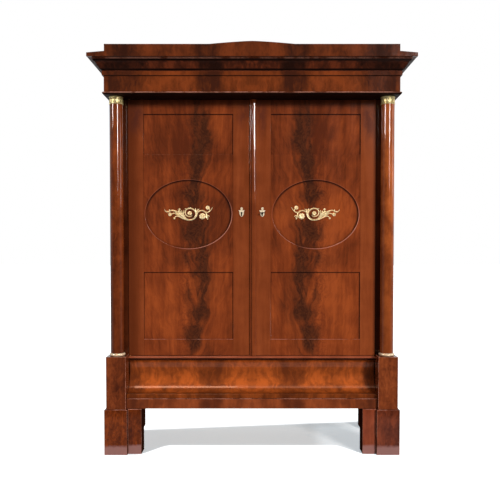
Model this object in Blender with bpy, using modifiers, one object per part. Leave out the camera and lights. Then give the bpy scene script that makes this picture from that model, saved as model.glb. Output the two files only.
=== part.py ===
"""Hall cupboard with two doors between free-standing columns, a hollow-fronted plinth drawer,
stepped block feet and a projecting cornice under a low pediment.

Units are metres and +Z is up. The front faces -Y. The origin lies on the floor, under the middle
of the whole cupboard, so the cornice's front and the back edge are equally far from it.
"""

import math

import bmesh
import bpy
from mathutils import Matrix, Vector

# Fits
GAP = 0.0003
CUT_OVERRUN = 0.004
WELD = GAP / 30

# Plinth plan
BODY_DEPTH = 0.606
POST_INSET = 0.0285

# Feet
FOOT_WIDTH = 0.126
FOOT_DEPTH = 0.126
FOOT_HEIGHT = 0.247
INNER_FOOT_WIDTH = 0.0735
INNER_FOOT_DEPTH = 0.090
INNER_FOOT_RECESS = 0.020
BACK_FOOT_DEPTH = 0.096
FOOT_EDGE_ROUND = 0.0012

# Plinth blocks under the columns
BLOCK_WIDTH = 0.1065
BLOCK_DEPTH = 0.1065
BLOCK_HEIGHT = 0.288
BLOCK_RECESS = 0.008
BLOCK_EDGE_ROUND = 0.0012

# Plinth rail, sides and drawer runners
RAIL_HEIGHT = 0.052
RAIL_THICKNESS = 0.024
RAIL_RECESS = 0.030
BASE_SIDE_LEDGE = 0.020
RUNNER_WIDTH = 0.038
RUNNER_THICKNESS = 0.014
GUIDE_WIDTH = 0.016
GUIDE_HEIGHT = 0.030

# Plinth drawer
DRAWER_CLEARANCE = 0.003
DRAWER_END_CLEARANCE = 0.0015
DRAWER_TOP_RECESS = 0.106
DRAWER_HOLLOW_RECESS = 0.133
DRAWER_HOLLOW_DROP = 0.066
DRAWER_LIP_HEIGHT = 0.004
DRAWER_NOSE_RECESS = 0.042
DRAWER_NOSE_HEIGHT = 0.024
DRAWER_NOSE_ROUND = 0.004
DRAWER_BACK_RECESS = 0.152
DRAWER_SIDE_INSET = 0.020
DRAWER_SIDE_THICKNESS = 0.013
DRAWER_SIDE_HEIGHT = 0.150
DRAWER_BACK_HEIGHT = 0.125
DRAWER_SIDE_PLAY = 0.002
DRAWER_BOTTOM_THICKNESS = 0.009
DRAWER_BOTTOM_RISE = 0.012
DRAWER_GROOVE_DEPTH = 0.006
DRAWER_BACK_SPACE = 0.020

# Cupboard box
DOOR_SILL_DROP = 0.009
FLOOR_THICKNESS = 0.018
FLOOR_NOSE_RECESS = 0.105
FLOOR_SIDE_SETBACK = 0.010
CUPBOARD_HEIGHT = 1.424
CARCASE_WIDTH = 1.540
SIDE_THICKNESS = 0.022
STILE_THICKNESS = 0.026
TOP_THICKNESS = 0.017
WAIST_BEAD_RECESS = 0.095
WAIST_BEAD_HEIGHT = 0.0155
WAIST_BEAD_DROP = 0.001
BACK_BOARD_COUNT = 7
BACK_BOARD_THICKNESS = 0.015
BACK_JOINT_WIDTH = 0.0015
BACK_JOINT_DEPTH = 0.004
BACK_BOARD_INSET = 0.003
BACK_BOARD_FOOT_RISE = 0.012
SHELF_COUNT = 3
SHELF_THICKNESS = 0.020
SHELF_FRONT_SPACE = 0.022
SHELF_HOUSING = 0.006

# Columns and their brass sleeves
COLUMN_RADIUS = 0.0367
COLUMN_NECK_RADIUS = 0.030
COLUMN_END_ROUND = 0.0015
CAPITAL_HEIGHT = 0.048
CAPITAL_RADIUS = 0.0382
CAPITAL_RIM_RADIUS = 0.0425
CAPITAL_RIM_HEIGHT = 0.010
CAPITAL_BEAD_RADIUS = 0.0022
COLUMN_BASE_HEIGHT = 0.0165
COLUMN_BASE_RADIUS = 0.0425

# Doors
DOOR_RECESS = 0.107
DOOR_THICKNESS = 0.030
DOOR_END_GAP = 0.0025
DOOR_SIDE_GAP = 0.002
MEETING_GAP = 0.002
MEETING_OFFSET = 0.0135
HINGE_STILE_WIDTH = 0.0848
PANEL_INNER_X = 0.10495
TOP_RAIL_WIDTH = 0.0785
UPPER_RAIL_WIDTH = 0.1405
LOWER_RAIL_WIDTH = 0.1315
BOTTOM_RAIL_WIDTH = 0.0905
UPPER_PANEL_SHARE = 0.228016
LOWER_PANEL_SHARE = 0.383436
OVAL_SIDE_MARGIN = 0.00875
PANEL_SINK = 0.005
PANEL_THICKNESS = 0.011
PANEL_REBATE = 0.010
PANEL_FIT = 0.0006

# Meeting bead on the right door
ASTRAGAL_WIDTH = 0.036
ASTRAGAL_BASE_THICKNESS = 0.003
ASTRAGAL_ROUND_WIDTH = 0.023
ASTRAGAL_PROJECTION = 0.012

# Door pivots
PIVOT_EDGE_INSET = 0.006
PIVOT_FACE_INSET = 0.0045
PIVOT_RADIUS = 0.0022
PIVOT_RUNNING_GAP = 0.0004
PIVOT_LENGTH = 0.0105
PIVOT_PLATE_LENGTH = 0.052
PIVOT_PLATE_WIDTH = 0.013
PIVOT_PLATE_THICKNESS = 0.003
PIVOT_PLATE_END = 0.0045
PIVOT_PLATE_MARGIN = 0.0012

# Lock, key and keyhole shields
LOCK_CENTRE_INSET = 0.0575
LOCK_RISE = 0.0065
SHIELD_WIDTH = 0.040
SHIELD_HEIGHT = 0.0455
SHIELD_BALL_RADIUS = 0.0078
SHIELD_THICKNESS = 0.003
SHIELD_HOLE_RISE = 0.026
SHIELD_HALF_SHARES = (
    (0.0, 0.0),
    (0.26, 0.055),
    (0.52, 0.17),
    (0.68, 0.33),
    (0.72, 0.52),
    (0.74, 0.70),
    (1.0, 0.86),
    (0.88, 0.93),
    (0.56, 0.90),
    (0.34, 0.96),
)
KEYHOLE_RADIUS = 0.0042
KEYHOLE_SLOT_WIDTH = 0.0042
KEYHOLE_SLOT_DROP = 0.016
BLIND_KEYHOLE_DEPTH = 0.006
LOCK_CASE_HEIGHT = 0.078
LOCK_CASE_THICKNESS = 0.016
LOCK_CASE_LENGTH = 0.090
LOCK_CASE_WALL = 0.002
LOCK_BOLT_HEIGHT = 0.014
LOCK_BOLT_THICKNESS = 0.007
LOCK_BOLT_LENGTH = 0.055
LOCK_BOLT_RISE = 0.015
LOCK_BOLT_THROW = 0.012
LOCK_BOLT_SETBACK = 0.0012
LOCK_BOLT_PLAY = 0.0006
KEY_SHANK_RADIUS = 0.0028
KEY_SHANK_PROJECTION = 0.014
KEY_BIT_REACH = 0.0105
KEY_BIT_LENGTH = 0.008
KEY_BIT_THICKNESS = 0.0026
KEY_BOW_RADIUS = 0.0165
KEY_BOW_WIRE_RADIUS = 0.0023
KEY_BOW_LENGTH_SHARE = 0.74
KEY_COLLAR_RADIUS = 0.0042
KEY_COLLAR_LENGTH = 0.003

# Shut bolts of the left door
SHUT_BOLT_INSET = 0.030
SHUT_BOLT_WIDTH = 0.010
SHUT_BOLT_THICKNESS = 0.006
SHUT_BOLT_LENGTH = 0.180
SHUT_BOLT_THROW = 0.013
SHUT_BOLT_SETBACK = 0.002
SHUT_BOLT_PLAY = 0.0005
SHUT_BOLT_KNOB_RADIUS = 0.005
SHUT_BOLT_KNOB_LENGTH = 0.010
SHUT_BOLT_SOCKET_PLAY = 0.0015

# Scroll mounts. Across shares count from the middle towards the meeting edge, up shares upwards.
MOUNT_WIDTH = 0.271
MOUNT_HEIGHT = 0.086
MOUNT_THICKNESS = 0.004
MOUNT_BOSS_THICKNESS = 0.007
MOUNT_RISE = 0.008
MOUNT_STROKE_SHARES = (
    ((-0.49, 0.23, 0.02), (-0.47, 0.10, 0.05), (-0.435, 0.10, 0.07), (-0.36, 0.17, 0.08),
     (-0.26, 0.03, 0.12)),
    ((-0.28, 0.05, 0.10), (-0.20, -0.10, 0.22), (-0.11, -0.27, 0.20), (0.01, -0.42, 0.12),
     (0.10, -0.38, 0.13), (0.155, -0.22, 0.15), (0.185, -0.04, 0.12), (0.182, 0.25, 0.02)),
    ((-0.36, 0.15, 0.06), (-0.375, 0.02, 0.05), (-0.385, -0.06, 0.05)),
    ((-0.245, -0.14, 0.09), (-0.262, -0.27, 0.05), (-0.29, -0.35, 0.05)),
    ((-0.215, -0.04, 0.10), (-0.19, 0.10, 0.07), (-0.187, 0.20, 0.05)),
    ((-0.12, -0.22, 0.12), (-0.075, 0.0, 0.07), (-0.045, 0.17, 0.06), (0.028, 0.235, 0.06),
     (0.095, 0.15, 0.06), (0.112, -0.03, 0.06), (0.085, -0.19, 0.05), (0.03, -0.25, 0.05),
     (-0.02, -0.18, 0.05)),
    ((0.028, 0.22, 0.06), (0.04, 0.33, 0.015)),
    ((0.17, 0.0, 0.10), (0.225, 0.14, 0.06), (0.285, 0.19, 0.06), (0.35, 0.08, 0.07), (0.385, -0.13, 0.08),
     (0.41, -0.37, 0.02)),
    ((0.31, 0.17, 0.05), (0.36, 0.13, 0.07), (0.41, 0.09, 0.05), (0.455, 0.20, 0.04), (0.495, 0.40, 0.015)),
    ((0.36, 0.13, 0.05), (0.37, 0.24, 0.05), (0.38, 0.33, 0.05)),
    ((0.365, 0.0, 0.06), (0.335, -0.12, 0.06)),
)
MOUNT_BOSS_SHARES = (
    (-0.385, -0.07, 0.135),
    (-0.294, -0.355, 0.085),
    (-0.187, 0.22, 0.085),
    (0.028, -0.03, 0.165),
    (0.282, -0.19, 0.195),
    (0.38, 0.36, 0.14),
)
MOUNT_SMOOTH_STEPS = 3
MOUNT_BOSS_STEPS = 16
MOUNT_BOSS_TOP_SHARE = 0.55

# Frieze and architrave
FRIEZE_OVERHANG = 0.025
FRIEZE_HEIGHT = 0.0837
FRIEZE_THICKNESS = 0.022
ARCHITRAVE_PROJECTION = 0.008
ARCHITRAVE_STEP = 0.001

# Cornice
BAND_HEIGHT = 0.027
BAND_PROJECTION = 0.009
CYMA_HEIGHT = 0.041
CYMA_PROJECTION = 0.046
QUIRK_HEIGHT = 0.006
FILLET_HEIGHT = 0.008
FILLET_PROJECTION = 0.052
CORONA_THICKNESS = 0.0195
CORONA_PROJECTION = 0.0746
ATTIC_THICKNESS = 0.024
ATTIC_END_SETBACK = 0.0185
ATTIC_HEIGHT = 0.0636
ATTIC_SHOULDER_RISE = 0.008
PEDIMENT_WIDTH = 0.450
PEDIMENT_RISE = 0.0156
PEDIMENT_CURVE = 1.35

# Fineness of round forms
TURN_STEPS = 48
SMALL_TURN_STEPS = 20
OVAL_STEPS = 64
CURVE_STEPS = 10
BEAD_STEPS = 4
BALL_STEPS = 6
BALL_NECK_ANGLE = math.radians(30)
PEDIMENT_STEPS = 24
KEY_BOW_WIRE_STEPS = 8

# Colours, as red, green, blue, and surface values
MAHOGANY = (0.150, 0.040, 0.014)
DARK_MAHOGANY = (0.085, 0.022, 0.009)
LIGHT_MAHOGANY = (0.230, 0.068, 0.022)
SOFTWOOD = (0.420, 0.260, 0.120)
BRASS = (0.780, 0.560, 0.250)
BONE = (0.780, 0.700, 0.540)
IRON = (0.060, 0.052, 0.046)

# Places worked out from the sizes above
FRONT = -(BODY_DEPTH - CORONA_PROJECTION) / 2
BACK = FRONT + BODY_DEPTH
SIDE_OUTER_X = CARCASE_WIDTH / 2
POST_X = SIDE_OUTER_X - POST_INSET
BLOCK_INNER_X = POST_X - BLOCK_WIDTH / 2
BLOCK_TOP = FOOT_HEIGHT + BLOCK_HEIGHT
BLOCK_BACK = FRONT + BLOCK_RECESS + BLOCK_DEPTH
COLUMN_Y = FRONT + BLOCK_RECESS + BLOCK_DEPTH / 2
SIDE_INNER_X = SIDE_OUTER_X - SIDE_THICKNESS
BASE_OUTER_X = SIDE_OUTER_X + BASE_SIDE_LEDGE
RAIL_TOP = FOOT_HEIGHT + RAIL_HEIGHT
CUPBOARD_FLOOR = BLOCK_TOP - DOOR_SILL_DROP
FLOOR_BOTTOM = CUPBOARD_FLOOR - FLOOR_THICKNESS
DRAWER_BOTTOM = RAIL_TOP + DRAWER_CLEARANCE
DRAWER_TOP = FLOOR_BOTTOM - DRAWER_CLEARANCE
GUIDE_X = BLOCK_INNER_X - DRAWER_END_CLEARANCE - DRAWER_SIDE_INSET + DRAWER_SIDE_PLAY
SOFFIT = CUPBOARD_FLOOR + CUPBOARD_HEIGHT
FRIEZE_BOTTOM = SOFFIT + TOP_THICKNESS
FRIEZE_TOP = FRIEZE_BOTTOM + FRIEZE_HEIGHT
FRIEZE_X = SIDE_OUTER_X + FRIEZE_OVERHANG
CORONA_BOTTOM = FRIEZE_TOP + BAND_HEIGHT + CYMA_HEIGHT + QUIRK_HEIGHT + FILLET_HEIGHT
CORONA_TOP = CORONA_BOTTOM + CORONA_THICKNESS
CORONA_X = FRIEZE_X + CORONA_PROJECTION
BACK_BOARD_BACK = BACK - BACK_BOARD_INSET
BACK_BOARD_FRONT = BACK_BOARD_BACK - BACK_BOARD_THICKNESS
DOOR_FRONT = FRONT + DOOR_RECESS
DOOR_BACK = DOOR_FRONT + DOOR_THICKNESS
DOOR_BOTTOM = CUPBOARD_FLOOR + DOOR_END_GAP
DOOR_TOP = SOFFIT - DOOR_END_GAP
DOOR_EDGE_X = BLOCK_INNER_X - DOOR_SIDE_GAP
PANEL_OUTER_X = DOOR_EDGE_X - HINGE_STILE_WIDTH
PANEL_X = (PANEL_OUTER_X + PANEL_INNER_X) / 2
PIVOT_X = DOOR_EDGE_X - PIVOT_EDGE_INSET
PIVOT_Y = DOOR_FRONT + PIVOT_FACE_INSET
LEFT_MEETING_X = -MEETING_OFFSET - MEETING_GAP / 2
RIGHT_MEETING_X = -MEETING_OFFSET + MEETING_GAP / 2
RAIL_WIDTHS = TOP_RAIL_WIDTH + UPPER_RAIL_WIDTH + LOWER_RAIL_WIDTH + BOTTOM_RAIL_WIDTH
PANEL_HEIGHTS = DOOR_TOP - DOOR_BOTTOM - RAIL_WIDTHS
UPPER_PANEL_TOP = DOOR_TOP - TOP_RAIL_WIDTH
UPPER_PANEL_BOTTOM = UPPER_PANEL_TOP - UPPER_PANEL_SHARE * PANEL_HEIGHTS
LOWER_PANEL_BOTTOM = DOOR_BOTTOM + BOTTOM_RAIL_WIDTH
LOWER_PANEL_TOP = LOWER_PANEL_BOTTOM + LOWER_PANEL_SHARE * PANEL_HEIGHTS
OVAL_TOP = UPPER_PANEL_BOTTOM - UPPER_RAIL_WIDTH
OVAL_BOTTOM = LOWER_PANEL_TOP + LOWER_RAIL_WIDTH
OVAL_Z = (OVAL_TOP + OVAL_BOTTOM) / 2
OVAL_HALF_WIDTH = (PANEL_OUTER_X - PANEL_INNER_X) / 2 - OVAL_SIDE_MARGIN
MOUNT_Z = OVAL_Z + MOUNT_RISE
LOCK_Z = OVAL_Z + LOCK_RISE
SHUT_BOLT_X = LEFT_MEETING_X - SHUT_BOLT_INSET
SHUT_BOLT_Y = DOOR_BACK - SHUT_BOLT_THICKNESS / 2 - SHUT_BOLT_PLAY
LOCK_BOLT_Y = DOOR_BACK - LOCK_CASE_THICKNESS / 2

SIDES = (("left", -1), ("right", 1))

parts = None
cutters = None


def start():
    """Empties the file and makes the two collections."""
    global parts, cutters
    for old in list(bpy.data.objects):
        bpy.data.objects.remove(old, do_unlink=True)
    parts = bpy.data.collections.new("hall_cupboard")
    cutters = bpy.data.collections.new("cutters")
    bpy.context.scene.collection.children.link(parts)
    bpy.context.scene.collection.children.link(cutters)


def paint(obj, colour, roughness, metallic=0.0):
    """Gives a piece its own material."""
    material = bpy.data.materials.new(obj.name)
    material.use_nodes = True
    shader = material.node_tree.nodes["Principled BSDF"]
    shader.inputs["Base Color"].default_value = (*colour, 1.0)
    shader.inputs["Roughness"].default_value = roughness
    shader.inputs["Metallic"].default_value = metallic
    obj.data.materials.clear()
    obj.data.materials.append(material)
    return obj


def polished(obj, colour=MAHOGANY):
    """French-polished wood."""
    return paint(obj, colour, 0.18)


def raw(obj):
    """Unpolished softwood, as used inside and at the back."""
    return paint(obj, SOFTWOOD, 0.75)


def metal(obj, colour=BRASS, roughness=0.3):
    """Brass or iron fittings."""
    return paint(obj, colour, roughness, 1.0)


def link(obj, group=None):
    """Puts an object in the cupboard's collection, or in another one."""
    (group or parts).objects.link(obj)
    return obj


def from_bmesh(name, shape, group=None):
    """Turns a bmesh into a linked object."""
    mesh = bpy.data.meshes.new(name)
    shape.to_mesh(mesh)
    shape.free()
    return link(bpy.data.objects.new(name, mesh), group)


def box(name, low, high, group=None):
    """A box between two corners, with its origin in its middle."""
    low = Vector(low)
    high = Vector(high)
    shape = bmesh.new()
    bmesh.ops.create_cube(shape, size=1.0)
    bmesh.ops.scale(shape, vec=high - low, verts=shape.verts)
    obj = from_bmesh(name, shape, group)
    obj.location = (low + high) / 2
    return obj


def mirrored_box(name, side, low, high, group=None):
    """A box on the left (side -1) or right (side 1), given as it lies on the right."""
    xs = sorted((side * low[0], side * high[0]))
    return box(name, (xs[0], low[1], low[2]), (xs[1], high[1], high[2]), group)


def soften(obj, width, segments=1):
    """Rounds a piece's sharp edges."""
    bevel = obj.modifiers.new("edge", "BEVEL")
    bevel.width = width
    bevel.segments = segments
    bevel.limit_method = "ANGLE"
    return obj


def as_mesh(curve_object):
    """Replaces a curve object by its mesh, with the caps welded on."""
    bpy.context.view_layer.update()
    evaluated = curve_object.evaluated_get(bpy.context.evaluated_depsgraph_get())
    mesh = bpy.data.meshes.new_from_object(evaluated)
    shape = bmesh.new()
    shape.from_mesh(mesh)
    bmesh.ops.remove_doubles(shape, verts=shape.verts, dist=WELD)
    bmesh.ops.dissolve_degenerate(shape, dist=WELD, edges=shape.edges)
    shape.to_mesh(mesh)
    shape.free()
    name = curve_object.name
    group = curve_object.users_collection[0]
    place = curve_object.matrix_world.copy()
    bpy.data.objects.remove(curve_object)
    obj = bpy.data.objects.new(name, mesh)
    mesh.name = name
    obj.matrix_world = place
    return link(obj, group)


def flat(name, outlines, thickness, turn, place, group=None):
    """A board cut to flat outlines. Later outlines inside the first are holes."""
    curve = bpy.data.curves.new(name, "CURVE")
    curve.dimensions = "2D"
    curve.fill_mode = "BOTH"
    curve.extrude = thickness / 2
    for outline in outlines:
        spline = curve.splines.new("POLY")
        spline.points.add(len(outline) - 1)
        for point, (u, v) in zip(spline.points, outline):
            point.co = (u, v, 0.0, 1.0)
        spline.use_cyclic_u = True
    obj = link(bpy.data.objects.new(name, curve), group)
    obj.rotation_euler = turn
    obj.location = place
    return as_mesh(obj)


def facing_front(name, outlines, thickness, y_middle, group=None):
    """A board whose outline is drawn in X and Z, with its faces towards front and back."""
    return flat(name, outlines, thickness, (math.pi / 2, 0, 0), (0, y_middle, 0), group)


def facing_side(name, outlines, length, x_middle, group=None):
    """A length whose section is drawn in Y and Z, running along X."""
    turn = (math.pi / 2, 0, math.pi / 2)
    return flat(name, outlines, length, turn, (x_middle, 0, 0), group)


def facing_up(name, outlines, thickness, z_middle, group=None):
    """A board whose outline is drawn in X and Y, lying flat."""
    return flat(name, outlines, thickness, (0, 0, 0), (0, 0, z_middle), group)


def rectangle(x_low, x_high, z_low, z_high):
    """The four corners of an upright rectangle."""
    return [(x_low, z_low), (x_high, z_low), (x_high, z_high), (x_low, z_high)]


def arc(centre, radius, start_angle, end_angle, steps):
    """Points along a circular arc, ends included."""
    points = []
    for i in range(steps + 1):
        angle = start_angle + (end_angle - start_angle) * i / steps
        points.append((centre[0] + radius * math.cos(angle), centre[1] + radius * math.sin(angle)))
    return points


def oval(centre, half_width, half_height, steps=OVAL_STEPS):
    """Points round an upright ellipse."""
    points = []
    for i in range(steps):
        angle = math.tau * i / steps
        u = centre[0] + half_width * math.cos(angle)
        v = centre[1] + half_height * math.sin(angle)
        points.append((u, v))
    return points


def turned(name, profile, place, closed=False, steps=TURN_STEPS, group=None):
    """A turned piece. Its profile runs down the outer side, from the top to the bottom."""
    mesh = bpy.data.meshes.new(name)
    edges = [(i, i + 1) for i in range(len(profile) - 1)]
    if closed:
        edges.append((len(profile) - 1, 0))
    mesh.from_pydata([(r, 0.0, z) for r, z in profile], edges, [])
    obj = link(bpy.data.objects.new(name, mesh), group)
    obj.location = place
    screw = obj.modifiers.new("turn", "SCREW")
    screw.axis = "Z"
    screw.steps = steps
    screw.render_steps = steps
    screw.use_merge_vertices = True
    screw.merge_threshold = WELD
    screw.use_smooth_shade = True
    return obj


def rod(name, radius, start_point, end_point, steps=SMALL_TURN_STEPS, group=None):
    """A round rod between two points."""
    start_point = Vector(start_point)
    end_point = Vector(end_point)
    run = end_point - start_point
    shape = bmesh.new()
    bmesh.ops.create_cone(
        shape, cap_ends=True, segments=steps, radius1=radius, radius2=radius, depth=run.length
    )
    obj = from_bmesh(name, shape, group)
    obj.rotation_euler = run.to_track_quat("Z", "Y").to_euler()
    obj.location = (start_point + end_point) / 2
    return obj


def boolean(obj, other, operation):
    """Cuts another object away, or joins it on, and hides it."""
    step = obj.modifiers.new(operation.lower(), "BOOLEAN")
    step.operation = operation
    step.object = other
    other.hide_render = True
    other.display_type = "WIRE"
    return obj


def cut(obj, cutter):
    """Cuts the cutter's shape out of the object."""
    return boolean(obj, cutter, "DIFFERENCE")


def join(obj, other):
    """Joins another solid onto the object."""
    return boolean(obj, other, "UNION")


def pivot(name, place):
    """An empty on a joint's axis, to carry the pieces that move with it."""
    empty = link(bpy.data.objects.new(name, None))
    empty.location = place
    bpy.context.view_layer.update()
    return empty


def carry(empty, *pieces):
    """Makes pieces ride on an empty and stay where they are."""
    bpy.context.view_layer.update()
    for piece in pieces:
        piece.parent = empty
        piece.matrix_parent_inverse = empty.matrix_world.inverted()
    return empty


def swept(name, rings, group=None):
    """A solid whose section passes through rings of corners, one after the other, with closed ends."""
    shape = bmesh.new()
    rows = [[shape.verts.new(corner) for corner in ring] for ring in rings]
    shape.faces.new(rows[0])
    shape.faces.new(rows[-1])
    for row, following in zip(rows, rows[1:]):
        for i in range(len(row)):
            shape.faces.new((row[i - 1], row[i], following[i], following[i - 1]))
    bmesh.ops.recalc_face_normals(shape, faces=shape.faces)
    return from_bmesh(name, shape, group)


def surround(name, profile, half_width, front, back, group=None):
    """A moulding along the front and both sides, mitred at the front corners."""
    rings = []
    for side, at_back in ((-1, True), (-1, False), (1, False), (1, True)):
        ring = []
        for projection, height in profile:
            y = back if at_back else front - projection
            ring.append((side * (half_width + projection), y, height))
        rings.append(ring)
    return swept(name, rings, group)


def smooth_path(points, steps):
    """Runs a smooth path of (across, up, half width) through the given points."""
    path = []
    for i in range(len(points) - 1):
        before = points[max(i - 1, 0)]
        here = points[i]
        there = points[i + 1]
        after = points[min(i + 2, len(points) - 1)]
        for step in range(steps):
            share = step / steps
            spot = []
            for a, b, c, d in zip(before, here, there, after):
                slope_in = (c - a) / 2
                slope_out = (d - b) / 2
                rest = 3 * (c - b) - 2 * slope_in - slope_out
                turn = 2 * (b - c) + slope_in + slope_out
                spot.append(b + share * (slope_in + share * (rest + share * turn)))
            path.append(spot)
    path.append(list(points[-1]))
    return path


def ribbon_outline(path):
    """Outline of a band that follows a path and is as wide as the path says."""
    left = []
    right = []
    for i, (u, v, half) in enumerate(path):
        before = path[max(i - 1, 0)]
        after = path[min(i + 1, len(path) - 1)]
        du = after[0] - before[0]
        dv = after[1] - before[1]
        run = math.hypot(du, dv)
        left.append((u - dv / run * half, v + du / run * half))
        right.append((u + dv / run * half, v - du / run * half))
    return left + right[::-1]


def make_feet():
    """Stepped front feet of two blocks each, and plain back feet."""
    outer_x = POST_X + FOOT_WIDTH / 2
    inner_x = POST_X - FOOT_WIDTH / 2
    for word, side in SIDES:
        foot = mirrored_box(
            f"front_foot_{word}", side, (inner_x, FRONT, 0), (outer_x, FRONT + FOOT_DEPTH, FOOT_HEIGHT)
        )
        polished(soften(foot, FOOT_EDGE_ROUND), DARK_MAHOGANY)
        front = FRONT + INNER_FOOT_RECESS
        inner = mirrored_box(
            f"inner_foot_{word}",
            side,
            (inner_x - GAP - INNER_FOOT_WIDTH, front, 0),
            (inner_x - GAP, front + INNER_FOOT_DEPTH, FOOT_HEIGHT),
        )
        polished(soften(inner, FOOT_EDGE_ROUND), DARK_MAHOGANY)
        rear = mirrored_box(
            f"back_foot_{word}", side, (inner_x, BACK - BACK_FOOT_DEPTH, 0), (outer_x, BACK, FOOT_HEIGHT)
        )
        polished(soften(rear, FOOT_EDGE_ROUND), DARK_MAHOGANY)


def make_base():
    """Plinth blocks, the rail under the drawer, the plinth sides and the drawer runners."""
    bottom = FOOT_HEIGHT + GAP
    for word, side in SIDES:
        block = mirrored_box(
            f"plinth_block_{word}",
            side,
            (BLOCK_INNER_X, FRONT + BLOCK_RECESS, bottom),
            (BLOCK_INNER_X + BLOCK_WIDTH, BLOCK_BACK, BLOCK_TOP),
        )
        polished(soften(block, BLOCK_EDGE_ROUND))
        wall = mirrored_box(
            f"base_side_{word}",
            side,
            (SIDE_INNER_X, BLOCK_BACK + GAP, bottom),
            (BASE_OUTER_X, BACK, FLOOR_BOTTOM - GAP),
        )
        polished(wall)
    rail_x = BLOCK_INNER_X - GAP
    rail_front = FRONT + RAIL_RECESS
    rail = box("base_rail", (-rail_x, rail_front, bottom), (rail_x, rail_front + RAIL_THICKNESS, RAIL_TOP))
    polished(soften(rail, FOOT_EDGE_ROUND))
    make_runners(rail_front + RAIL_THICKNESS)


def make_runners(rail_back):
    """Two runner boards that carry the drawer, each with a strip that guides the drawer's side."""
    top = DRAWER_BOTTOM - GAP
    inner = GUIDE_X - RUNNER_WIDTH
    narrow = BLOCK_INNER_X - GAP
    outer = SIDE_INNER_X - GAP
    front = rail_back + GAP
    behind_block = BLOCK_BACK + GAP
    back = BACK_BOARD_FRONT - GAP
    outline = [
        (inner, front),
        (narrow, front),
        (narrow, behind_block),
        (outer, behind_block),
        (outer, back),
        (inner, back),
    ]
    for word, side in SIDES:
        corners = [(side * u, v) for u, v in outline]
        middle = top - RUNNER_THICKNESS / 2
        runner = facing_up(f"drawer_runner_{word}", [corners], RUNNER_THICKNESS, middle)
        low = (GUIDE_X, FRONT + DRAWER_BACK_RECESS + DRAWER_CLEARANCE, middle)
        high = (GUIDE_X + GUIDE_WIDTH, back - CUT_OVERRUN, top + GUIDE_HEIGHT)
        join(runner, mirrored_box(f"drawer_guide_{word}", side, low, high, cutters))
        raw(runner)


def drawer_front_section():
    """Section of the drawer front: a lip, a deep hollow that sweeps forward, and a square nose."""
    hollow_z = DRAWER_TOP - DRAWER_HOLLOW_DROP
    nose_z = DRAWER_BOTTOM + DRAWER_NOSE_HEIGHT
    lip_z = DRAWER_TOP - DRAWER_LIP_HEIGHT
    top_y = FRONT + DRAWER_TOP_RECESS
    hollow_y = FRONT + DRAWER_HOLLOW_RECESS
    nose_y = FRONT + DRAWER_NOSE_RECESS
    back_y = FRONT + DRAWER_BACK_RECESS
    section = [(back_y, DRAWER_TOP), (top_y, DRAWER_TOP), (top_y, lip_z)]
    for i in range(1, CURVE_STEPS + 1):
        angle = math.pi / 2 * i / CURVE_STEPS
        y = top_y + (hollow_y - top_y) * math.sin(angle)
        section.append((y, hollow_z + (lip_z - hollow_z) * math.cos(angle)))
    for i in range(1, CURVE_STEPS + 1):
        angle = math.pi / 2 * i / CURVE_STEPS
        y = nose_y + DRAWER_NOSE_ROUND + (hollow_y - nose_y - DRAWER_NOSE_ROUND) * math.cos(angle)
        section.append((y, hollow_z - (hollow_z - nose_z) * math.sin(angle)))
    section += [(nose_y, nose_z - DRAWER_NOSE_ROUND), (nose_y, DRAWER_BOTTOM), (back_y, DRAWER_BOTTOM)]
    return section


def make_drawer():
    """The plinth drawer: a hollow front, grooved sides, a back and a bottom held in the grooves."""
    front_x = BLOCK_INNER_X - DRAWER_END_CLEARANCE
    front = facing_side("drawer_front", [drawer_front_section()], 2 * front_x, 0)
    polished(front, LIGHT_MAHOGANY)
    outer = GUIDE_X - DRAWER_SIDE_PLAY
    inner = outer - DRAWER_SIDE_THICKNESS
    groove_low = DRAWER_BOTTOM + DRAWER_BOTTOM_RISE
    groove_high = groove_low + DRAWER_BOTTOM_THICKNESS + 2 * GAP
    groove_x = inner + DRAWER_GROOVE_DEPTH
    top = DRAWER_BOTTOM + DRAWER_SIDE_HEIGHT
    section = [
        (inner, DRAWER_BOTTOM),
        (outer, DRAWER_BOTTOM),
        (outer, top),
        (inner, top),
        (inner, groove_high),
        (groove_x, groove_high),
        (groove_x, groove_low),
        (inner, groove_low),
    ]
    start_y = FRONT + DRAWER_BACK_RECESS + GAP
    end_y = BACK_BOARD_FRONT - DRAWER_BACK_SPACE
    boards = []
    for word, side in SIDES:
        ends = [[(side * u, y, v) for u, v in section] for y in (start_y, end_y)]
        boards.append(swept(f"drawer_side_{word}", ends))
    back_low = (-inner + GAP, end_y - DRAWER_SIDE_THICKNESS, groove_high)
    back_high = (inner - GAP, end_y, DRAWER_BOTTOM + DRAWER_BACK_HEIGHT)
    boards.append(box("drawer_back", back_low, back_high))
    bottom_low = (-groove_x + GAP, start_y, groove_low + GAP)
    bottom_high = (groove_x - GAP, end_y, groove_high - GAP)
    boards.append(box("drawer_bottom", bottom_low, bottom_high))
    for board in boards:
        raw(board)
    slide = pivot("drawer_slide", (0, FRONT + DRAWER_NOSE_RECESS, (DRAWER_BOTTOM + DRAWER_TOP) / 2))
    carry(slide, front, *boards)


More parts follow.
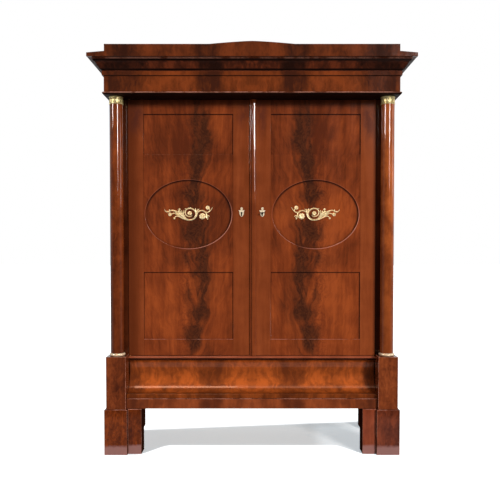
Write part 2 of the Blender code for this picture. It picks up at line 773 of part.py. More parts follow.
def make_floor_and_top():
    """The cupboard's floor and top, with beaded front edges and sockets for pivots and shut bolts."""
    floor_x = BASE_OUTER_X - FLOOR_SIDE_SETBACK
    nose = FRONT + FLOOR_NOSE_RECESS
    inner = BLOCK_INNER_X - GAP
    behind = BLOCK_BACK + GAP
    back = BACK_BOARD_FRONT - GAP
    outline = [
        (-inner, nose),
        (inner, nose),
        (inner, behind),
        (floor_x, behind),
        (floor_x, back),
        (-floor_x, back),
        (-floor_x, behind),
        (-inner, behind),
    ]
    faces = [[(u, v, z) for u, v in outline] for z in (FLOOR_BOTTOM, CUPBOARD_FLOOR)]
    floor = swept("cupboard_floor", faces)
    join(floor, make_waist_bead(nose, 2 * (inner - GAP)))
    top = box("cupboard_top", (-FRIEZE_X, FRONT, SOFFIT), (FRIEZE_X, BACK, FRIEZE_BOTTOM - GAP))
    join(top, surround("architrave_bead", architrave_profile(), FRIEZE_X, FRONT, BACK, cutters))
    for board, face, inward in ((floor, CUPBOARD_FLOOR, -1), (top, SOFFIT, 1)):
        for word, side in SIDES:
            radius = PIVOT_RADIUS + PIVOT_RUNNING_GAP
            start_point = (side * PIVOT_X, PIVOT_Y, face - inward * CUT_OVERRUN)
            end_point = (side * PIVOT_X, PIVOT_Y, face + inward * (PIVOT_LENGTH + DOOR_END_GAP))
            cut(board, rod(f"{board.name}_{word}_bore", radius, start_point, end_point, group=cutters))
        cut_bolt_socket(board, face, inward)
    polished(floor)
    polished(top, DARK_MAHOGANY)


def make_waist_bead(nose, length):
    """The round bead along the floor's front edge, between the plinth blocks."""
    bead_back = nose + WAIST_BEAD_HEIGHT / 2
    bead_front = FRONT + WAIST_BEAD_RECESS
    radius = WAIST_BEAD_HEIGHT / 2
    centre_z = FLOOR_BOTTOM + WAIST_BEAD_DROP + radius
    section = [(bead_back, centre_z + radius)]
    for i in range(CURVE_STEPS + 1):
        angle = math.pi / 2 + math.pi * i / CURVE_STEPS
        y = nose + (nose - bead_front) * math.cos(angle)
        section.append((y, centre_z + radius * math.sin(angle)))
    section.append((bead_back, centre_z - radius))
    return facing_side("waist_bead", [section], length, 0, cutters)


def architrave_profile():
    """A half-round bead that stands out from the top board's edge."""
    radius = (TOP_THICKNESS - GAP) / 2
    low = SOFFIT + ARCHITRAVE_STEP
    half_height = radius - ARCHITRAVE_STEP
    profile = [(-FRIEZE_THICKNESS, low)]
    for i in range(CURVE_STEPS + 1):
        angle = math.pi * i / CURVE_STEPS - math.pi / 2
        p = ARCHITRAVE_PROJECTION * math.cos(angle)
        profile.append((p, low + half_height * (1 + math.sin(angle))))
    profile.append((-FRIEZE_THICKNESS, low + 2 * half_height))
    return profile


def pivot_plate_box(name, side, z_low, z_high, grow=0.0, group=None):
    """A pivot plate's block, grown sideways where it is a seat to be cut."""
    outer = PIVOT_X + PIVOT_PLATE_END
    y_low = DOOR_FRONT + PIVOT_PLATE_MARGIN
    low = (outer - PIVOT_PLATE_LENGTH - grow, y_low - grow, z_low)
    high = (outer + grow, y_low + PIVOT_PLATE_WIDTH + grow, z_high)
    return mirrored_box(name, side, low, high, group)


def cut_bolt_socket(board, face, inward):
    """Cuts the hole that a shut bolt of the left door enters."""
    half_width = SHUT_BOLT_WIDTH / 2 + SHUT_BOLT_SOCKET_PLAY
    half_depth = SHUT_BOLT_THICKNESS / 2 + SHUT_BOLT_SOCKET_PLAY
    reach = SHUT_BOLT_THROW + SHUT_BOLT_SOCKET_PLAY
    zs = sorted((face - inward * CUT_OVERRUN, face + inward * reach))
    socket = box(
        f"{board.name}_bolt_socket",
        (SHUT_BOLT_X - half_width, SHUT_BOLT_Y - half_depth, zs[0]),
        (SHUT_BOLT_X + half_width, SHUT_BOLT_Y + half_depth, zs[1]),
        cutters,
    )
    cut(board, socket)


def make_box():
    """Side panels housed for the shelves, the stiles behind the columns, the back and the shelves."""
    bottom = CUPBOARD_FLOOR + GAP
    top = SOFFIT - GAP
    stile_front = BLOCK_BACK + GAP
    stile_back = stile_front + STILE_THICKNESS
    shelf_front = DOOR_BACK + SHELF_FRONT_SPACE
    spacing = CUPBOARD_HEIGHT / (SHELF_COUNT + 1)
    for word, side in SIDES:
        stile_low = (BLOCK_INNER_X, stile_front, bottom)
        stile = mirrored_box(f"stile_{word}", side, stile_low, (SIDE_OUTER_X, stile_back, top))
        polished(stile)
        panel_low = (SIDE_INNER_X, stile_back + GAP, bottom)
        panel = mirrored_box(f"side_panel_{word}", side, panel_low, (SIDE_OUTER_X, BACK, top))
        for number in range(SHELF_COUNT):
            z = CUPBOARD_FLOOR + spacing * (number + 1)
            low = (SIDE_INNER_X - CUT_OVERRUN, shelf_front - GAP, z - GAP)
            high = (SIDE_INNER_X + SHELF_HOUSING, BACK_BOARD_FRONT, z + SHELF_THICKNESS + GAP)
            cut(panel, mirrored_box(f"housing_{word}_{number + 1}", side, low, high, cutters))
        polished(panel)
    make_back(FOOT_HEIGHT + BACK_BOARD_FOOT_RISE, top)
    shelf_x = SIDE_INNER_X + SHELF_HOUSING - GAP
    for number in range(SHELF_COUNT):
        z = CUPBOARD_FLOOR + spacing * (number + 1)
        low = (-shelf_x, shelf_front, z)
        high = (shelf_x, BACK_BOARD_FRONT - GAP, z + SHELF_THICKNESS)
        raw(box(f"shelf_{number + 1}", low, high))


def make_back(bottom, top):
    """Upright boards glued side by side into one back, with a shallow groove at each joint."""
    half = SIDE_INNER_X - GAP
    spacing = 2 * half / BACK_BOARD_COUNT
    front_edge = [(-half, BACK_BOARD_FRONT)]
    for number in range(1, BACK_BOARD_COUNT):
        x = number * spacing - half
        front_edge.append((x - BACK_JOINT_WIDTH / 2, BACK_BOARD_FRONT))
        front_edge.append((x, BACK_BOARD_FRONT + BACK_JOINT_DEPTH))
        front_edge.append((x + BACK_JOINT_WIDTH / 2, BACK_BOARD_FRONT))
    front_edge.append((half, BACK_BOARD_FRONT))
    middle = (BACK_BOARD_FRONT + BACK_BOARD_BACK) / 2
    back_edge = [(u, 2 * middle - v) for u, v in reversed(front_edge)]
    outline = front_edge + back_edge
    raw(facing_up("back_boards", [outline], top - bottom, (top + bottom) / 2))


def make_columns():
    """Polished columns whose necks pass up and down into brass sleeves."""
    height = SOFFIT - BLOCK_TOP - 2 * GAP
    shoulder = height - CAPITAL_HEIGHT
    foot = COLUMN_BASE_HEIGHT
    profile = [
        (0, height),
        (COLUMN_NECK_RADIUS, height),
        (COLUMN_NECK_RADIUS, shoulder),
        (COLUMN_RADIUS - COLUMN_END_ROUND, shoulder),
        (COLUMN_RADIUS, shoulder - COLUMN_END_ROUND),
        (COLUMN_RADIUS, foot + COLUMN_END_ROUND),
        (COLUMN_RADIUS - COLUMN_END_ROUND, foot),
        (COLUMN_NECK_RADIUS, foot),
        (COLUMN_NECK_RADIUS, 0),
        (0, 0),
    ]
    for word, side in SIDES:
        place = (side * POST_X, COLUMN_Y, BLOCK_TOP + GAP)
        polished(turned(f"column_{word}", profile, place), DARK_MAHOGANY)
        metal(turned(f"capital_{word}", capital_profile(shoulder), place, closed=True))
        metal(turned(f"column_base_{word}", column_base_profile(), place, closed=True))


def capital_profile(shoulder):
    """A brass sleeve with a flared rim on top and a bead at each edge of its band."""
    top = shoulder + CAPITAL_HEIGHT
    rim_low = top - CAPITAL_RIM_HEIGHT
    bottom = shoulder + GAP
    inside = COLUMN_NECK_RADIUS + GAP
    bead = CAPITAL_BEAD_RADIUS
    profile = [(CAPITAL_RIM_RADIUS - bead, top), (CAPITAL_RIM_RADIUS, top - bead)]
    profile += [(CAPITAL_RIM_RADIUS, top - 2 * bead), (CAPITAL_RADIUS + bead, rim_low)]
    for centre in (rim_low - bead, bottom + bead):
        for i in range(BEAD_STEPS + 1):
            angle = math.pi / 2 - math.pi * i / BEAD_STEPS
            profile.append((CAPITAL_RADIUS + bead * math.cos(angle), centre + bead * math.sin(angle)))
    profile += [(inside, bottom), (inside, top)]
    return profile


def column_base_profile():
    """A brass ring with a round torus."""
    inside = COLUMN_NECK_RADIUS + GAP
    top = COLUMN_BASE_HEIGHT - GAP
    radius = top / 2
    centre = COLUMN_BASE_RADIUS - radius
    profile = [(inside, top)]
    for i in range(2 * BEAD_STEPS + 1):
        angle = math.pi / 2 - math.pi * i / (2 * BEAD_STEPS)
        profile.append((centre + radius * math.cos(angle), radius + radius * math.sin(angle)))
    profile.append((inside, 0))
    return profile


def make_entablature():
    """The frieze boards, the cornice moulding, its top board and the pedimented attic board."""
    frieze = box("frieze", (-FRIEZE_X, FRONT, FRIEZE_BOTTOM), (FRIEZE_X, BACK, FRIEZE_TOP))
    inside_x = FRIEZE_X - FRIEZE_THICKNESS
    inside_low = (-inside_x, FRONT + FRIEZE_THICKNESS, FRIEZE_BOTTOM - CUT_OVERRUN)
    inside_high = (inside_x, BACK - FRIEZE_THICKNESS, FRIEZE_TOP + CUT_OVERRUN)
    cut(frieze, box("frieze_inside", inside_low, inside_high, cutters))
    rear_low = (GAP - inside_x, BACK - FRIEZE_THICKNESS, FRIEZE_TOP - CUT_OVERRUN)
    rear_high = (inside_x - GAP, BACK, CORONA_BOTTOM)
    join(frieze, box("cornice_rear_board", rear_low, rear_high, cutters))
    polished(frieze)
    polished(surround("cornice_moulding", cornice_profile(), FRIEZE_X, FRONT, BACK), DARK_MAHOGANY)
    board_front = FRONT - CORONA_PROJECTION + ATTIC_THICKNESS + GAP
    corona = box("cornice_top", (-CORONA_X, board_front, CORONA_BOTTOM + GAP), (CORONA_X, BACK, CORONA_TOP))
    polished(corona, DARK_MAHOGANY)
    attic_y = FRONT - CORONA_PROJECTION + ATTIC_THICKNESS / 2
    polished(facing_front("attic_board", [attic_outline()], ATTIC_THICKNESS, attic_y))


def cornice_profile():
    """A flat band, an ogee that swells out and then sweeps forward, a quirk and a fillet."""
    bottom = FRIEZE_TOP + GAP
    band_top = FRIEZE_TOP + BAND_HEIGHT
    cyma_top = band_top + CYMA_HEIGHT
    profile = [(-FRIEZE_THICKNESS, bottom), (BAND_PROJECTION, bottom), (BAND_PROJECTION, band_top)]
    for i in range(1, CURVE_STEPS + 1):
        share = i / CURVE_STEPS
        p = BAND_PROJECTION + (CYMA_PROJECTION - BAND_PROJECTION) * share
        z = band_top + CYMA_HEIGHT * share * share * (3 - 2 * share)
        profile.append((p, z))
    quirk_top = cyma_top + QUIRK_HEIGHT
    profile += [(CYMA_PROJECTION, quirk_top), (FILLET_PROJECTION, quirk_top)]
    profile += [(FILLET_PROJECTION, CORONA_BOTTOM), (-FRIEZE_THICKNESS, CORONA_BOTTOM)]
    return profile


def attic_outline():
    """Outline of the attic board: low shoulders at the ends and a low pediment in the middle."""
    base = CORONA_BOTTOM + GAP
    shoulder = CORONA_TOP + ATTIC_SHOULDER_RISE
    top = CORONA_BOTTOM + ATTIC_HEIGHT
    attic_x = FRIEZE_X - ATTIC_END_SETBACK
    outline = [(-CORONA_X, base), (CORONA_X, base), (CORONA_X, CORONA_TOP), (attic_x, shoulder)]
    outline.append((attic_x, top))
    for i in range(PEDIMENT_STEPS + 1):
        share = 1 - 2 * i / PEDIMENT_STEPS
        lift = PEDIMENT_RISE * (1 - abs(share) ** PEDIMENT_CURVE)
        outline.append((share * PEDIMENT_WIDTH / 2, top + lift))
    outline += [(-attic_x, top), (-attic_x, shoulder), (-CORONA_X, CORONA_TOP)]
    return outline


def door_outline(inner_x, side):
    """Outer edge of a door, from its meeting edge to its hinge edge."""
    xs = sorted((inner_x, side * DOOR_EDGE_X))
    return rectangle(xs[0], xs[1], DOOR_BOTTOM, DOOR_TOP)


def panel_rectangle(side, z_low, z_high, grow=0.0):
    """A panel opening on one door."""
    xs = sorted((side * (PANEL_INNER_X - grow), side * (PANEL_OUTER_X + grow)))
    return rectangle(xs[0], xs[1], z_low - grow, z_high + grow)


def panel_oval(side, grow=0.0):
    """The oval opening of one door."""
    half_height = (OVAL_TOP - OVAL_BOTTOM) / 2
    return oval((side * PANEL_X, OVAL_Z), OVAL_HALF_WIDTH + grow, half_height + grow)


def make_door(word, side, meeting_x):
    """A door: its frame with three openings, the sunken panels behind them, and its pivots."""
    openings = {
        "upper": lambda grow: panel_rectangle(side, UPPER_PANEL_BOTTOM, UPPER_PANEL_TOP, grow),
        "oval": lambda grow: panel_oval(side, grow),
        "lower": lambda grow: panel_rectangle(side, LOWER_PANEL_BOTTOM, LOWER_PANEL_TOP, grow),
    }
    outlines = [door_outline(meeting_x, side)] + [opening(0.0) for opening in openings.values()]
    middle = (DOOR_FRONT + DOOR_BACK) / 2
    frame = facing_front(f"{word}_door_frame", outlines, DOOR_THICKNESS, middle)
    rebate_front = DOOR_FRONT + PANEL_SINK
    rebate_back = DOOR_BACK + CUT_OVERRUN
    pieces = [frame]
    for form, opening in openings.items():
        cutter = facing_front(
            f"{word}_{form}_rebate",
            [opening(PANEL_REBATE)],
            rebate_back - rebate_front,
            (rebate_back + rebate_front) / 2,
            cutters,
        )
        cut(frame, cutter)
        panel_y = rebate_front + GAP + PANEL_THICKNESS / 2
        outline = opening(PANEL_REBATE - PANEL_FIT)
        panel = facing_front(f"{word}_{form}_panel", [outline], PANEL_THICKNESS, panel_y)
        pieces.append(polished(panel, LIGHT_MAHOGANY))
    for end, face, inward in (("bottom", DOOR_BOTTOM, 1), ("top", DOOR_TOP, -1)):
        zs = sorted((face - inward * CUT_OVERRUN, face + inward * (PIVOT_PLATE_THICKNESS + GAP)))
        cut(frame, pivot_plate_box(f"{word}_{end}_plate_seat", side, zs[0], zs[1], GAP, cutters))
    polished(frame)
    pieces += make_pivots(word, side)
    hinge = pivot(f"{word}_door_hinge", (side * PIVOT_X, PIVOT_Y, DOOR_BOTTOM))
    return hinge, frame, pieces


def make_pivots(word, side):
    """Brass plates let into a door's bottom and top edges, each with a pin that enters the cupboard."""
    pieces = []
    for end, face, outward in (("bottom", DOOR_BOTTOM, -1), ("top", DOOR_TOP, 1)):
        zs = sorted((face, face - outward * PIVOT_PLATE_THICKNESS))
        plate = pivot_plate_box(f"{word}_{end}_pivot", side, zs[0], zs[1])
        start_point = (side * PIVOT_X, PIVOT_Y, face - outward * PIVOT_PLATE_THICKNESS / 2)
        end_point = (side * PIVOT_X, PIVOT_Y, face + outward * PIVOT_LENGTH)
        join(plate, rod(f"{word}_{end}_pin", PIVOT_RADIUS, start_point, end_point, group=cutters))
        pieces.append(metal(plate))
    return pieces


def shield_outline(side):
    """Outline of a keyhole shield: a pointed base, shoulders that flare out, and a ball on a neck."""
    half = []
    for across_share, up_share in SHIELD_HALF_SHARES:
        half.append((across_share * SHIELD_WIDTH / 2, up_share * SHIELD_HEIGHT))
    ball_z = SHIELD_HEIGHT + SHIELD_BALL_RADIUS
    neck = BALL_NECK_ANGLE - math.pi / 2
    ball = arc((0, ball_z), SHIELD_BALL_RADIUS, neck, math.pi / 2, BALL_STEPS)
    right = half + ball
    left = [(-u, v) for u, v in reversed(right[1:-1])]
    centre = side * LOCK_CENTRE_INSET
    base = LOCK_Z - SHIELD_HOLE_RISE
    return [(centre + u, base + v) for u, v in right + left]


def keyhole_outline(side, grow=0.0):
    """A round hole with a slot below it for the key's bit."""
    radius = KEYHOLE_RADIUS + grow
    half_slot = KEYHOLE_SLOT_WIDTH / 2 + grow
    start_angle = -math.acos(half_slot / radius)
    end_angle = math.pi - start_angle
    points = arc((0, 0), radius, start_angle, end_angle, 2 * CURVE_STEPS)
    drop = -KEYHOLE_SLOT_DROP - grow
    points += [(-half_slot, drop), (half_slot, drop)]
    return [(side * LOCK_CENTRE_INSET + u, LOCK_Z + v) for u, v in points]


def make_shield(word, side):
    """The bone-coloured shield round a keyhole."""
    y = DOOR_FRONT - GAP - SHIELD_THICKNESS / 2
    outlines = [shield_outline(side), keyhole_outline(side)]
    return paint(facing_front(f"{word}_key_shield", outlines, SHIELD_THICKNESS, y), BONE, 0.35)


def make_mount(word, side):
    """The brass acanthus scroll on a door's oval panel: leafy bands joined by rosettes and berries."""
    seat_y = DOOR_FRONT + PANEL_SINK
    mount = None
    for number, stroke in enumerate(MOUNT_STROKE_SHARES):
        points = []
        for across_share, up_share, half_share in stroke:
            across = PANEL_X - across_share * MOUNT_WIDTH
            points.append((across, MOUNT_Z + up_share * MOUNT_HEIGHT, half_share * MOUNT_HEIGHT))
        outline = [(side * u, v) for u, v in ribbon_outline(smooth_path(points, MOUNT_SMOOTH_STEPS))]
        y = seat_y - MOUNT_THICKNESS / 2
        group = cutters if mount else None
        band = facing_front(f"{word}_mount_band_{number}", [outline], MOUNT_THICKNESS, y, group)
        if mount:
            join(mount, band)
        else:
            mount = band
    for number, (across_share, up_share, radius_share) in enumerate(MOUNT_BOSS_SHARES):
        x = side * (PANEL_X - across_share * MOUNT_WIDTH)
        z = MOUNT_Z + up_share * MOUNT_HEIGHT
        boss = make_boss(f"{word}_mount_boss_{number}", x, z, radius_share * MOUNT_HEIGHT, seat_y)
        join(mount, boss)
    mount.name = f"{word}_scroll_mount"
    return metal(mount)


def make_boss(name, x, z, radius, seat_y):
    """A round boss with sloping sides, as a rosette or a berry of the mount."""
    shape = bmesh.new()
    bmesh.ops.create_cone(
        shape,
        cap_ends=True,
        segments=MOUNT_BOSS_STEPS,
        radius1=radius,
        radius2=radius * MOUNT_BOSS_TOP_SHARE,
        depth=MOUNT_BOSS_THICKNESS,
    )
    boss = from_bmesh(name, shape, cutters)
    boss.rotation_euler = (math.pi / 2, 0, 0)
    boss.location = (x, seat_y - MOUNT_BOSS_THICKNESS / 2, z)
    return boss


def make_left_door():
    """The left door with its two shut bolts and the socket for the lock's bolt."""
    hinge, frame, pieces = make_door("left", -1, LEFT_MEETING_X)
    shield = make_shield("left", -1)
    mount = make_mount("left", -1)
    carry(hinge, *pieces, shield, mount)
    recess = facing_front(
        "left_blind_keyhole", [keyhole_outline(-1)], 2 * BLIND_KEYHOLE_DEPTH, DOOR_FRONT, cutters
    )
    cut(frame, recess)
    half_height = LOCK_BOLT_HEIGHT / 2 + LOCK_BOLT_PLAY
    half_depth = LOCK_BOLT_THICKNESS / 2 + LOCK_BOLT_PLAY
    bolt_z = LOCK_Z + LOCK_BOLT_RISE + LOCK_BOLT_HEIGHT / 2
    depth = LOCK_BOLT_THROW
    socket = box(
        "left_lock_socket",
        (LEFT_MEETING_X - depth, LOCK_BOLT_Y - half_depth, bolt_z - half_height),
        (LEFT_MEETING_X + CUT_OVERRUN, LOCK_BOLT_Y + half_depth, bolt_z + half_height),
        cutters,
    )
    cut(frame, socket)
    for word, face, outward in (("bottom", DOOR_BOTTOM, -1), ("top", DOOR_TOP, 1)):
        make_shut_bolt(frame, word, face, outward, hinge)


def make_shut_bolt(frame, word, face, outward, hinge):
    """A flat bolt in a channel of the left door's back, with a knob to slide it by."""
    half = SHUT_BOLT_WIDTH / 2
    tip = face - outward * SHUT_BOLT_SETBACK
    tail = tip - outward * SHUT_BOLT_LENGTH
    y_low = DOOR_BACK - SHUT_BOLT_PLAY - SHUT_BOLT_THICKNESS
    y_high = y_low + SHUT_BOLT_THICKNESS
    zs = sorted((tail - outward * SHUT_BOLT_PLAY, face + outward * CUT_OVERRUN))
    channel = box(
        f"left_{word}_channel",
        (SHUT_BOLT_X - half - SHUT_BOLT_PLAY, y_low - GAP, zs[0]),
        (SHUT_BOLT_X + half + SHUT_BOLT_PLAY, DOOR_BACK + CUT_OVERRUN, zs[1]),
        cutters,
    )
    cut(frame, channel)
    zs = sorted((tail, tip))
    bolt = box(f"{word}_bolt", (SHUT_BOLT_X - half, y_low, zs[0]), (SHUT_BOLT_X + half, y_high, zs[1]))
    knob_z = tail + outward * SHUT_BOLT_LENGTH / 4
    knob = rod(
        f"{word}_bolt_knob",
        SHUT_BOLT_KNOB_RADIUS - GAP,
        (SHUT_BOLT_X, y_low + SHUT_BOLT_THICKNESS / 2, knob_z),
        (SHUT_BOLT_X, y_high + SHUT_BOLT_KNOB_LENGTH, knob_z),
        group=cutters,
    )
    join(bolt, knob)
    metal(bolt, IRON, 0.45)
    slide = pivot(f"{word}_bolt_slide", (SHUT_BOLT_X, SHUT_BOLT_Y, tip))
    carry(slide, bolt)
    carry(hinge, slide)


def make_right_door():
    """The right door with its meeting bead, lock, bolt and key."""
    hinge, frame, pieces = make_door("right", 1, RIGHT_MEETING_X)
    shield = make_shield("right", 1)
    mount = make_mount("right", 1)
    bead = make_astragal()
    through = facing_front(
        "right_keyhole", [keyhole_outline(1)], 2 * DOOR_THICKNESS, DOOR_FRONT + DOOR_THICKNESS / 2, cutters
    )
    cut(frame, through)
    case = make_lock_case(frame, through)
    carry(hinge, *pieces, shield, mount, bead, case)
    make_lock_bolt(hinge)
    make_key(hinge)


def make_astragal():
    """The stepped half-round bead that runs up the right door's meeting edge."""
    back = DOOR_FRONT - GAP
    step = back - ASTRAGAL_BASE_THICKNESS
    centre = RIGHT_MEETING_X + ASTRAGAL_WIDTH / 2
    half = ASTRAGAL_ROUND_WIDTH / 2
    depth = ASTRAGAL_PROJECTION - ASTRAGAL_BASE_THICKNESS
    outline = [(centre + ASTRAGAL_WIDTH / 2, back), (centre - ASTRAGAL_WIDTH / 2, back)]
    outline.append((centre - ASTRAGAL_WIDTH / 2, step))
    for i in range(2 * CURVE_STEPS + 1):
        angle = math.pi * (1 - i / (2 * CURVE_STEPS))
        outline.append((centre + half * math.cos(angle), step - depth * math.sin(angle)))
    outline.append((centre + ASTRAGAL_WIDTH / 2, step))
    height = DOOR_TOP - DOOR_BOTTOM
    bead = facing_up("astragal", [outline], height, DOOR_BOTTOM + height / 2)
    return polished(bead)


def make_lock_case(frame, keyhole):
    """An iron lock case let into the right door's back, hollow for the bolt and the key's bit."""
    left = RIGHT_MEETING_X + GAP
    right = left + LOCK_CASE_LENGTH
    front = DOOR_BACK - LOCK_CASE_THICKNESS
    low = LOCK_Z - LOCK_CASE_HEIGHT / 2
    high = LOCK_Z + LOCK_CASE_HEIGHT / 2
    seat = box(
        "right_lock_seat",
        (left - CUT_OVERRUN, front - GAP, low - GAP),
        (right + GAP, DOOR_BACK + CUT_OVERRUN, high + GAP),
        cutters,
    )
    cut(frame, seat)
    case = box("lock_case", (left, front, low), (right, DOOR_BACK, high))
    wall = LOCK_CASE_WALL
    hollow = box(
        "lock_hollow",
        (left + wall, front + wall, low + wall),
        (right - wall, DOOR_BACK - wall, high - wall),
        cutters,
    )
    cut(case, hollow)
    half_height = LOCK_BOLT_HEIGHT / 2 + LOCK_BOLT_PLAY / 2
    half_depth = LOCK_BOLT_THICKNESS / 2 + LOCK_BOLT_PLAY / 2
    bolt_z = LOCK_Z + LOCK_BOLT_RISE + LOCK_BOLT_HEIGHT / 2
    slot = box(
        "lock_slot",
        (left - CUT_OVERRUN, LOCK_BOLT_Y - half_depth, bolt_z - half_height),
        (left + 2 * wall, LOCK_BOLT_Y + half_depth, bolt_z + half_height),
        cutters,
    )
    cut(case, slot)
    eye = facing_front("lock_eye", [keyhole_outline(1)], 2 * wall, front + wall / 2, cutters)
    cut(case, eye)
    return metal(case, IRON, 0.5)


def make_lock_bolt(hinge):
    """The lock's bolt, drawn back inside the case."""
    left = RIGHT_MEETING_X + LOCK_BOLT_SETBACK
    bottom = LOCK_Z + LOCK_BOLT_RISE
    half_depth = LOCK_BOLT_THICKNESS / 2
    bolt = box(
        "lock_bolt",
        (left, LOCK_BOLT_Y - half_depth, bottom),
        (left + LOCK_BOLT_LENGTH, LOCK_BOLT_Y + half_depth, bottom + LOCK_BOLT_HEIGHT),
    )
    metal(bolt, IRON, 0.4)
    slide = pivot("lock_bolt_slide", (left, LOCK_BOLT_Y, bottom + LOCK_BOLT_HEIGHT / 2))
    carry(slide, bolt)
    carry(hinge, slide)


def make_key(hinge):
    """The iron key: bow and collar outside the shield, a shank through the door and a bit in the lock."""
    x = LOCK_CENTRE_INSET
    shield_front = DOOR_FRONT - GAP - SHIELD_THICKNESS
    shank_front = shield_front - KEY_SHANK_PROJECTION
    shank_back = DOOR_BACK - LOCK_CASE_WALL - 2 * GAP
    key = rod("key", KEY_SHANK_RADIUS, (x, shank_front, LOCK_Z), (x, shank_back, LOCK_Z))
    collar_back = shield_front - 2 * GAP
    collar = rod(
        "key_collar",
        KEY_COLLAR_RADIUS,
        (x, collar_back - KEY_COLLAR_LENGTH, LOCK_Z),
        (x, collar_back, LOCK_Z),
        group=cutters,
    )
    join(key, collar)
    bit = box(
        "key_bit",
        (x, LOCK_BOLT_Y - KEY_BIT_LENGTH / 2, LOCK_Z - KEY_BIT_THICKNESS / 2),
        (x + KEY_BIT_REACH, LOCK_BOLT_Y + KEY_BIT_LENGTH / 2, LOCK_Z + KEY_BIT_THICKNESS / 2),
        cutters,
    )
    join(key, bit)
    profile = []
    for i in range(KEY_BOW_WIRE_STEPS):
        angle = -math.tau * i / KEY_BOW_WIRE_STEPS
        wire = KEY_BOW_WIRE_RADIUS
        profile.append((KEY_BOW_RADIUS - wire + wire * math.cos(angle), wire * math.sin(angle)))
    bow_y = shank_front - KEY_BOW_RADIUS * KEY_BOW_LENGTH_SHARE + 2 * KEY_BOW_WIRE_RADIUS
    bow = turned("key_bow", profile, (x, bow_y, LOCK_Z), True, SMALL_TURN_STEPS, cutters)
    bow.scale.y = KEY_BOW_LENGTH_SHARE
    join(key, bow)
    metal(key, IRON, 0.45)
    turn = pivot("key_turn", (x, DOOR_FRONT, LOCK_Z))
    carry(turn, key)
    carry(hinge, turn)


def build():
    """Makes the whole cupboard."""
    start()
    make_feet()
    make_base()
    make_drawer()
    make_floor_and_top()
    make_box()
    make_columns()
    make_entablature()
    make_left_door()
    make_right_door()


build()
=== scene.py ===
# %% [markdown]
# # A hall cupboard in figured mahogany
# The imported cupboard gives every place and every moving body. This script dresses it: it turns, runs and
# carves each piece again with fine edges, polishes the woods, casts the brass and sets up a plain studio.
# Sizes are in metres, +Z is up and the front faces -Y.

import math

import bmesh
import bpy
from mathutils import Matrix, Vector


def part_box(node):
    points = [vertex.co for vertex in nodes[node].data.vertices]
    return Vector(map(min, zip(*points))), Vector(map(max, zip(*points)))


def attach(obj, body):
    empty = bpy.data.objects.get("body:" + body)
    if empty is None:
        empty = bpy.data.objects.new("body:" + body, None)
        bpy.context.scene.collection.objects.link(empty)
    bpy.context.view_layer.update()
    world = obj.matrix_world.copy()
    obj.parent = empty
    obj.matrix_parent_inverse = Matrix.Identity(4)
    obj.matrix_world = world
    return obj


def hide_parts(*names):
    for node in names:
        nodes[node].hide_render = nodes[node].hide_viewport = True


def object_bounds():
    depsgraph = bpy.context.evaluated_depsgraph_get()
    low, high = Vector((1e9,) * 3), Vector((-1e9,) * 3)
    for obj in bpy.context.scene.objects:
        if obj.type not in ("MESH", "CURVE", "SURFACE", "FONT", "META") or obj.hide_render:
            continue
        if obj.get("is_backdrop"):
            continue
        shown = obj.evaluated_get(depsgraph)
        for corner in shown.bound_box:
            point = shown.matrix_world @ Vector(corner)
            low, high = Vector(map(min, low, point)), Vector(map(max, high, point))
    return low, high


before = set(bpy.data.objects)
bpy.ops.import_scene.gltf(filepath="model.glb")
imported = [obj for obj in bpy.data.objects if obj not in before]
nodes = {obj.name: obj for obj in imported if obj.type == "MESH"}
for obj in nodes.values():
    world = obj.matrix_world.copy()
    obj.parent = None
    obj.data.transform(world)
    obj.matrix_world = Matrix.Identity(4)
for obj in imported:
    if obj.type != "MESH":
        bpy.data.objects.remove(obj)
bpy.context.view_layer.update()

# %% [markdown]
# ## The camera
# The front stands square to the camera, so its uprights stay parallel. The eye is a little above the middle
# and looks very slightly down; a small shift puts the cupboard where the picture has it.

# %% Camera
FOCAL_PIXELS = 639.0
IMAGE_PIXELS = 500.0
EYE = Vector((-0.011, -3.7157, 1.125))
LOOK_DOWN = 0.0275
SHIFT_UP = 0.0322

scene = bpy.context.scene
lens = bpy.data.cameras.new("camera")
lens.sensor_width = 36.0
lens.lens = FOCAL_PIXELS / IMAGE_PIXELS * lens.sensor_width
lens.shift_y = SHIFT_UP
camera = bpy.data.objects.new("camera", lens)
camera.location = EYE
camera.rotation_euler = (math.pi / 2 - LOOK_DOWN, 0, 0)
scene.collection.objects.link(camera)
scene.camera = camera
scene.view_settings.view_transform = "Standard"
print("lens", round(lens.lens, 2), "mm, eye", tuple(EYE))

# %% [markdown]
# ## Wiring a material
# Every finish here is a tree of nodes that reads Object coordinates, so grain runs through a piece at its
# real scale. Two small classes keep the wiring short: a value is one node's output and is reckoned with like
# a number, and each call of a graph adds one node and gives back its value.

# %% Node helper
class Value:
    """One output of a node. Each sum or product with it adds a node of its own."""

    def __init__(self, graph, socket):
        self.graph, self.socket = graph, socket

    def __add__(self, other):
        return self.graph.maths("ADD", self, other)

    def __sub__(self, other):
        return self.graph.maths("SUBTRACT", self, other)

    def __rsub__(self, other):
        return self.graph.maths("SUBTRACT", other, self)

    def __mul__(self, other):
        return self.graph.maths("MULTIPLY", self, other)

    def __truediv__(self, other):
        return self.graph.maths("DIVIDE", self, other)

    def __abs__(self):
        return self.graph.maths("ABSOLUTE", self)


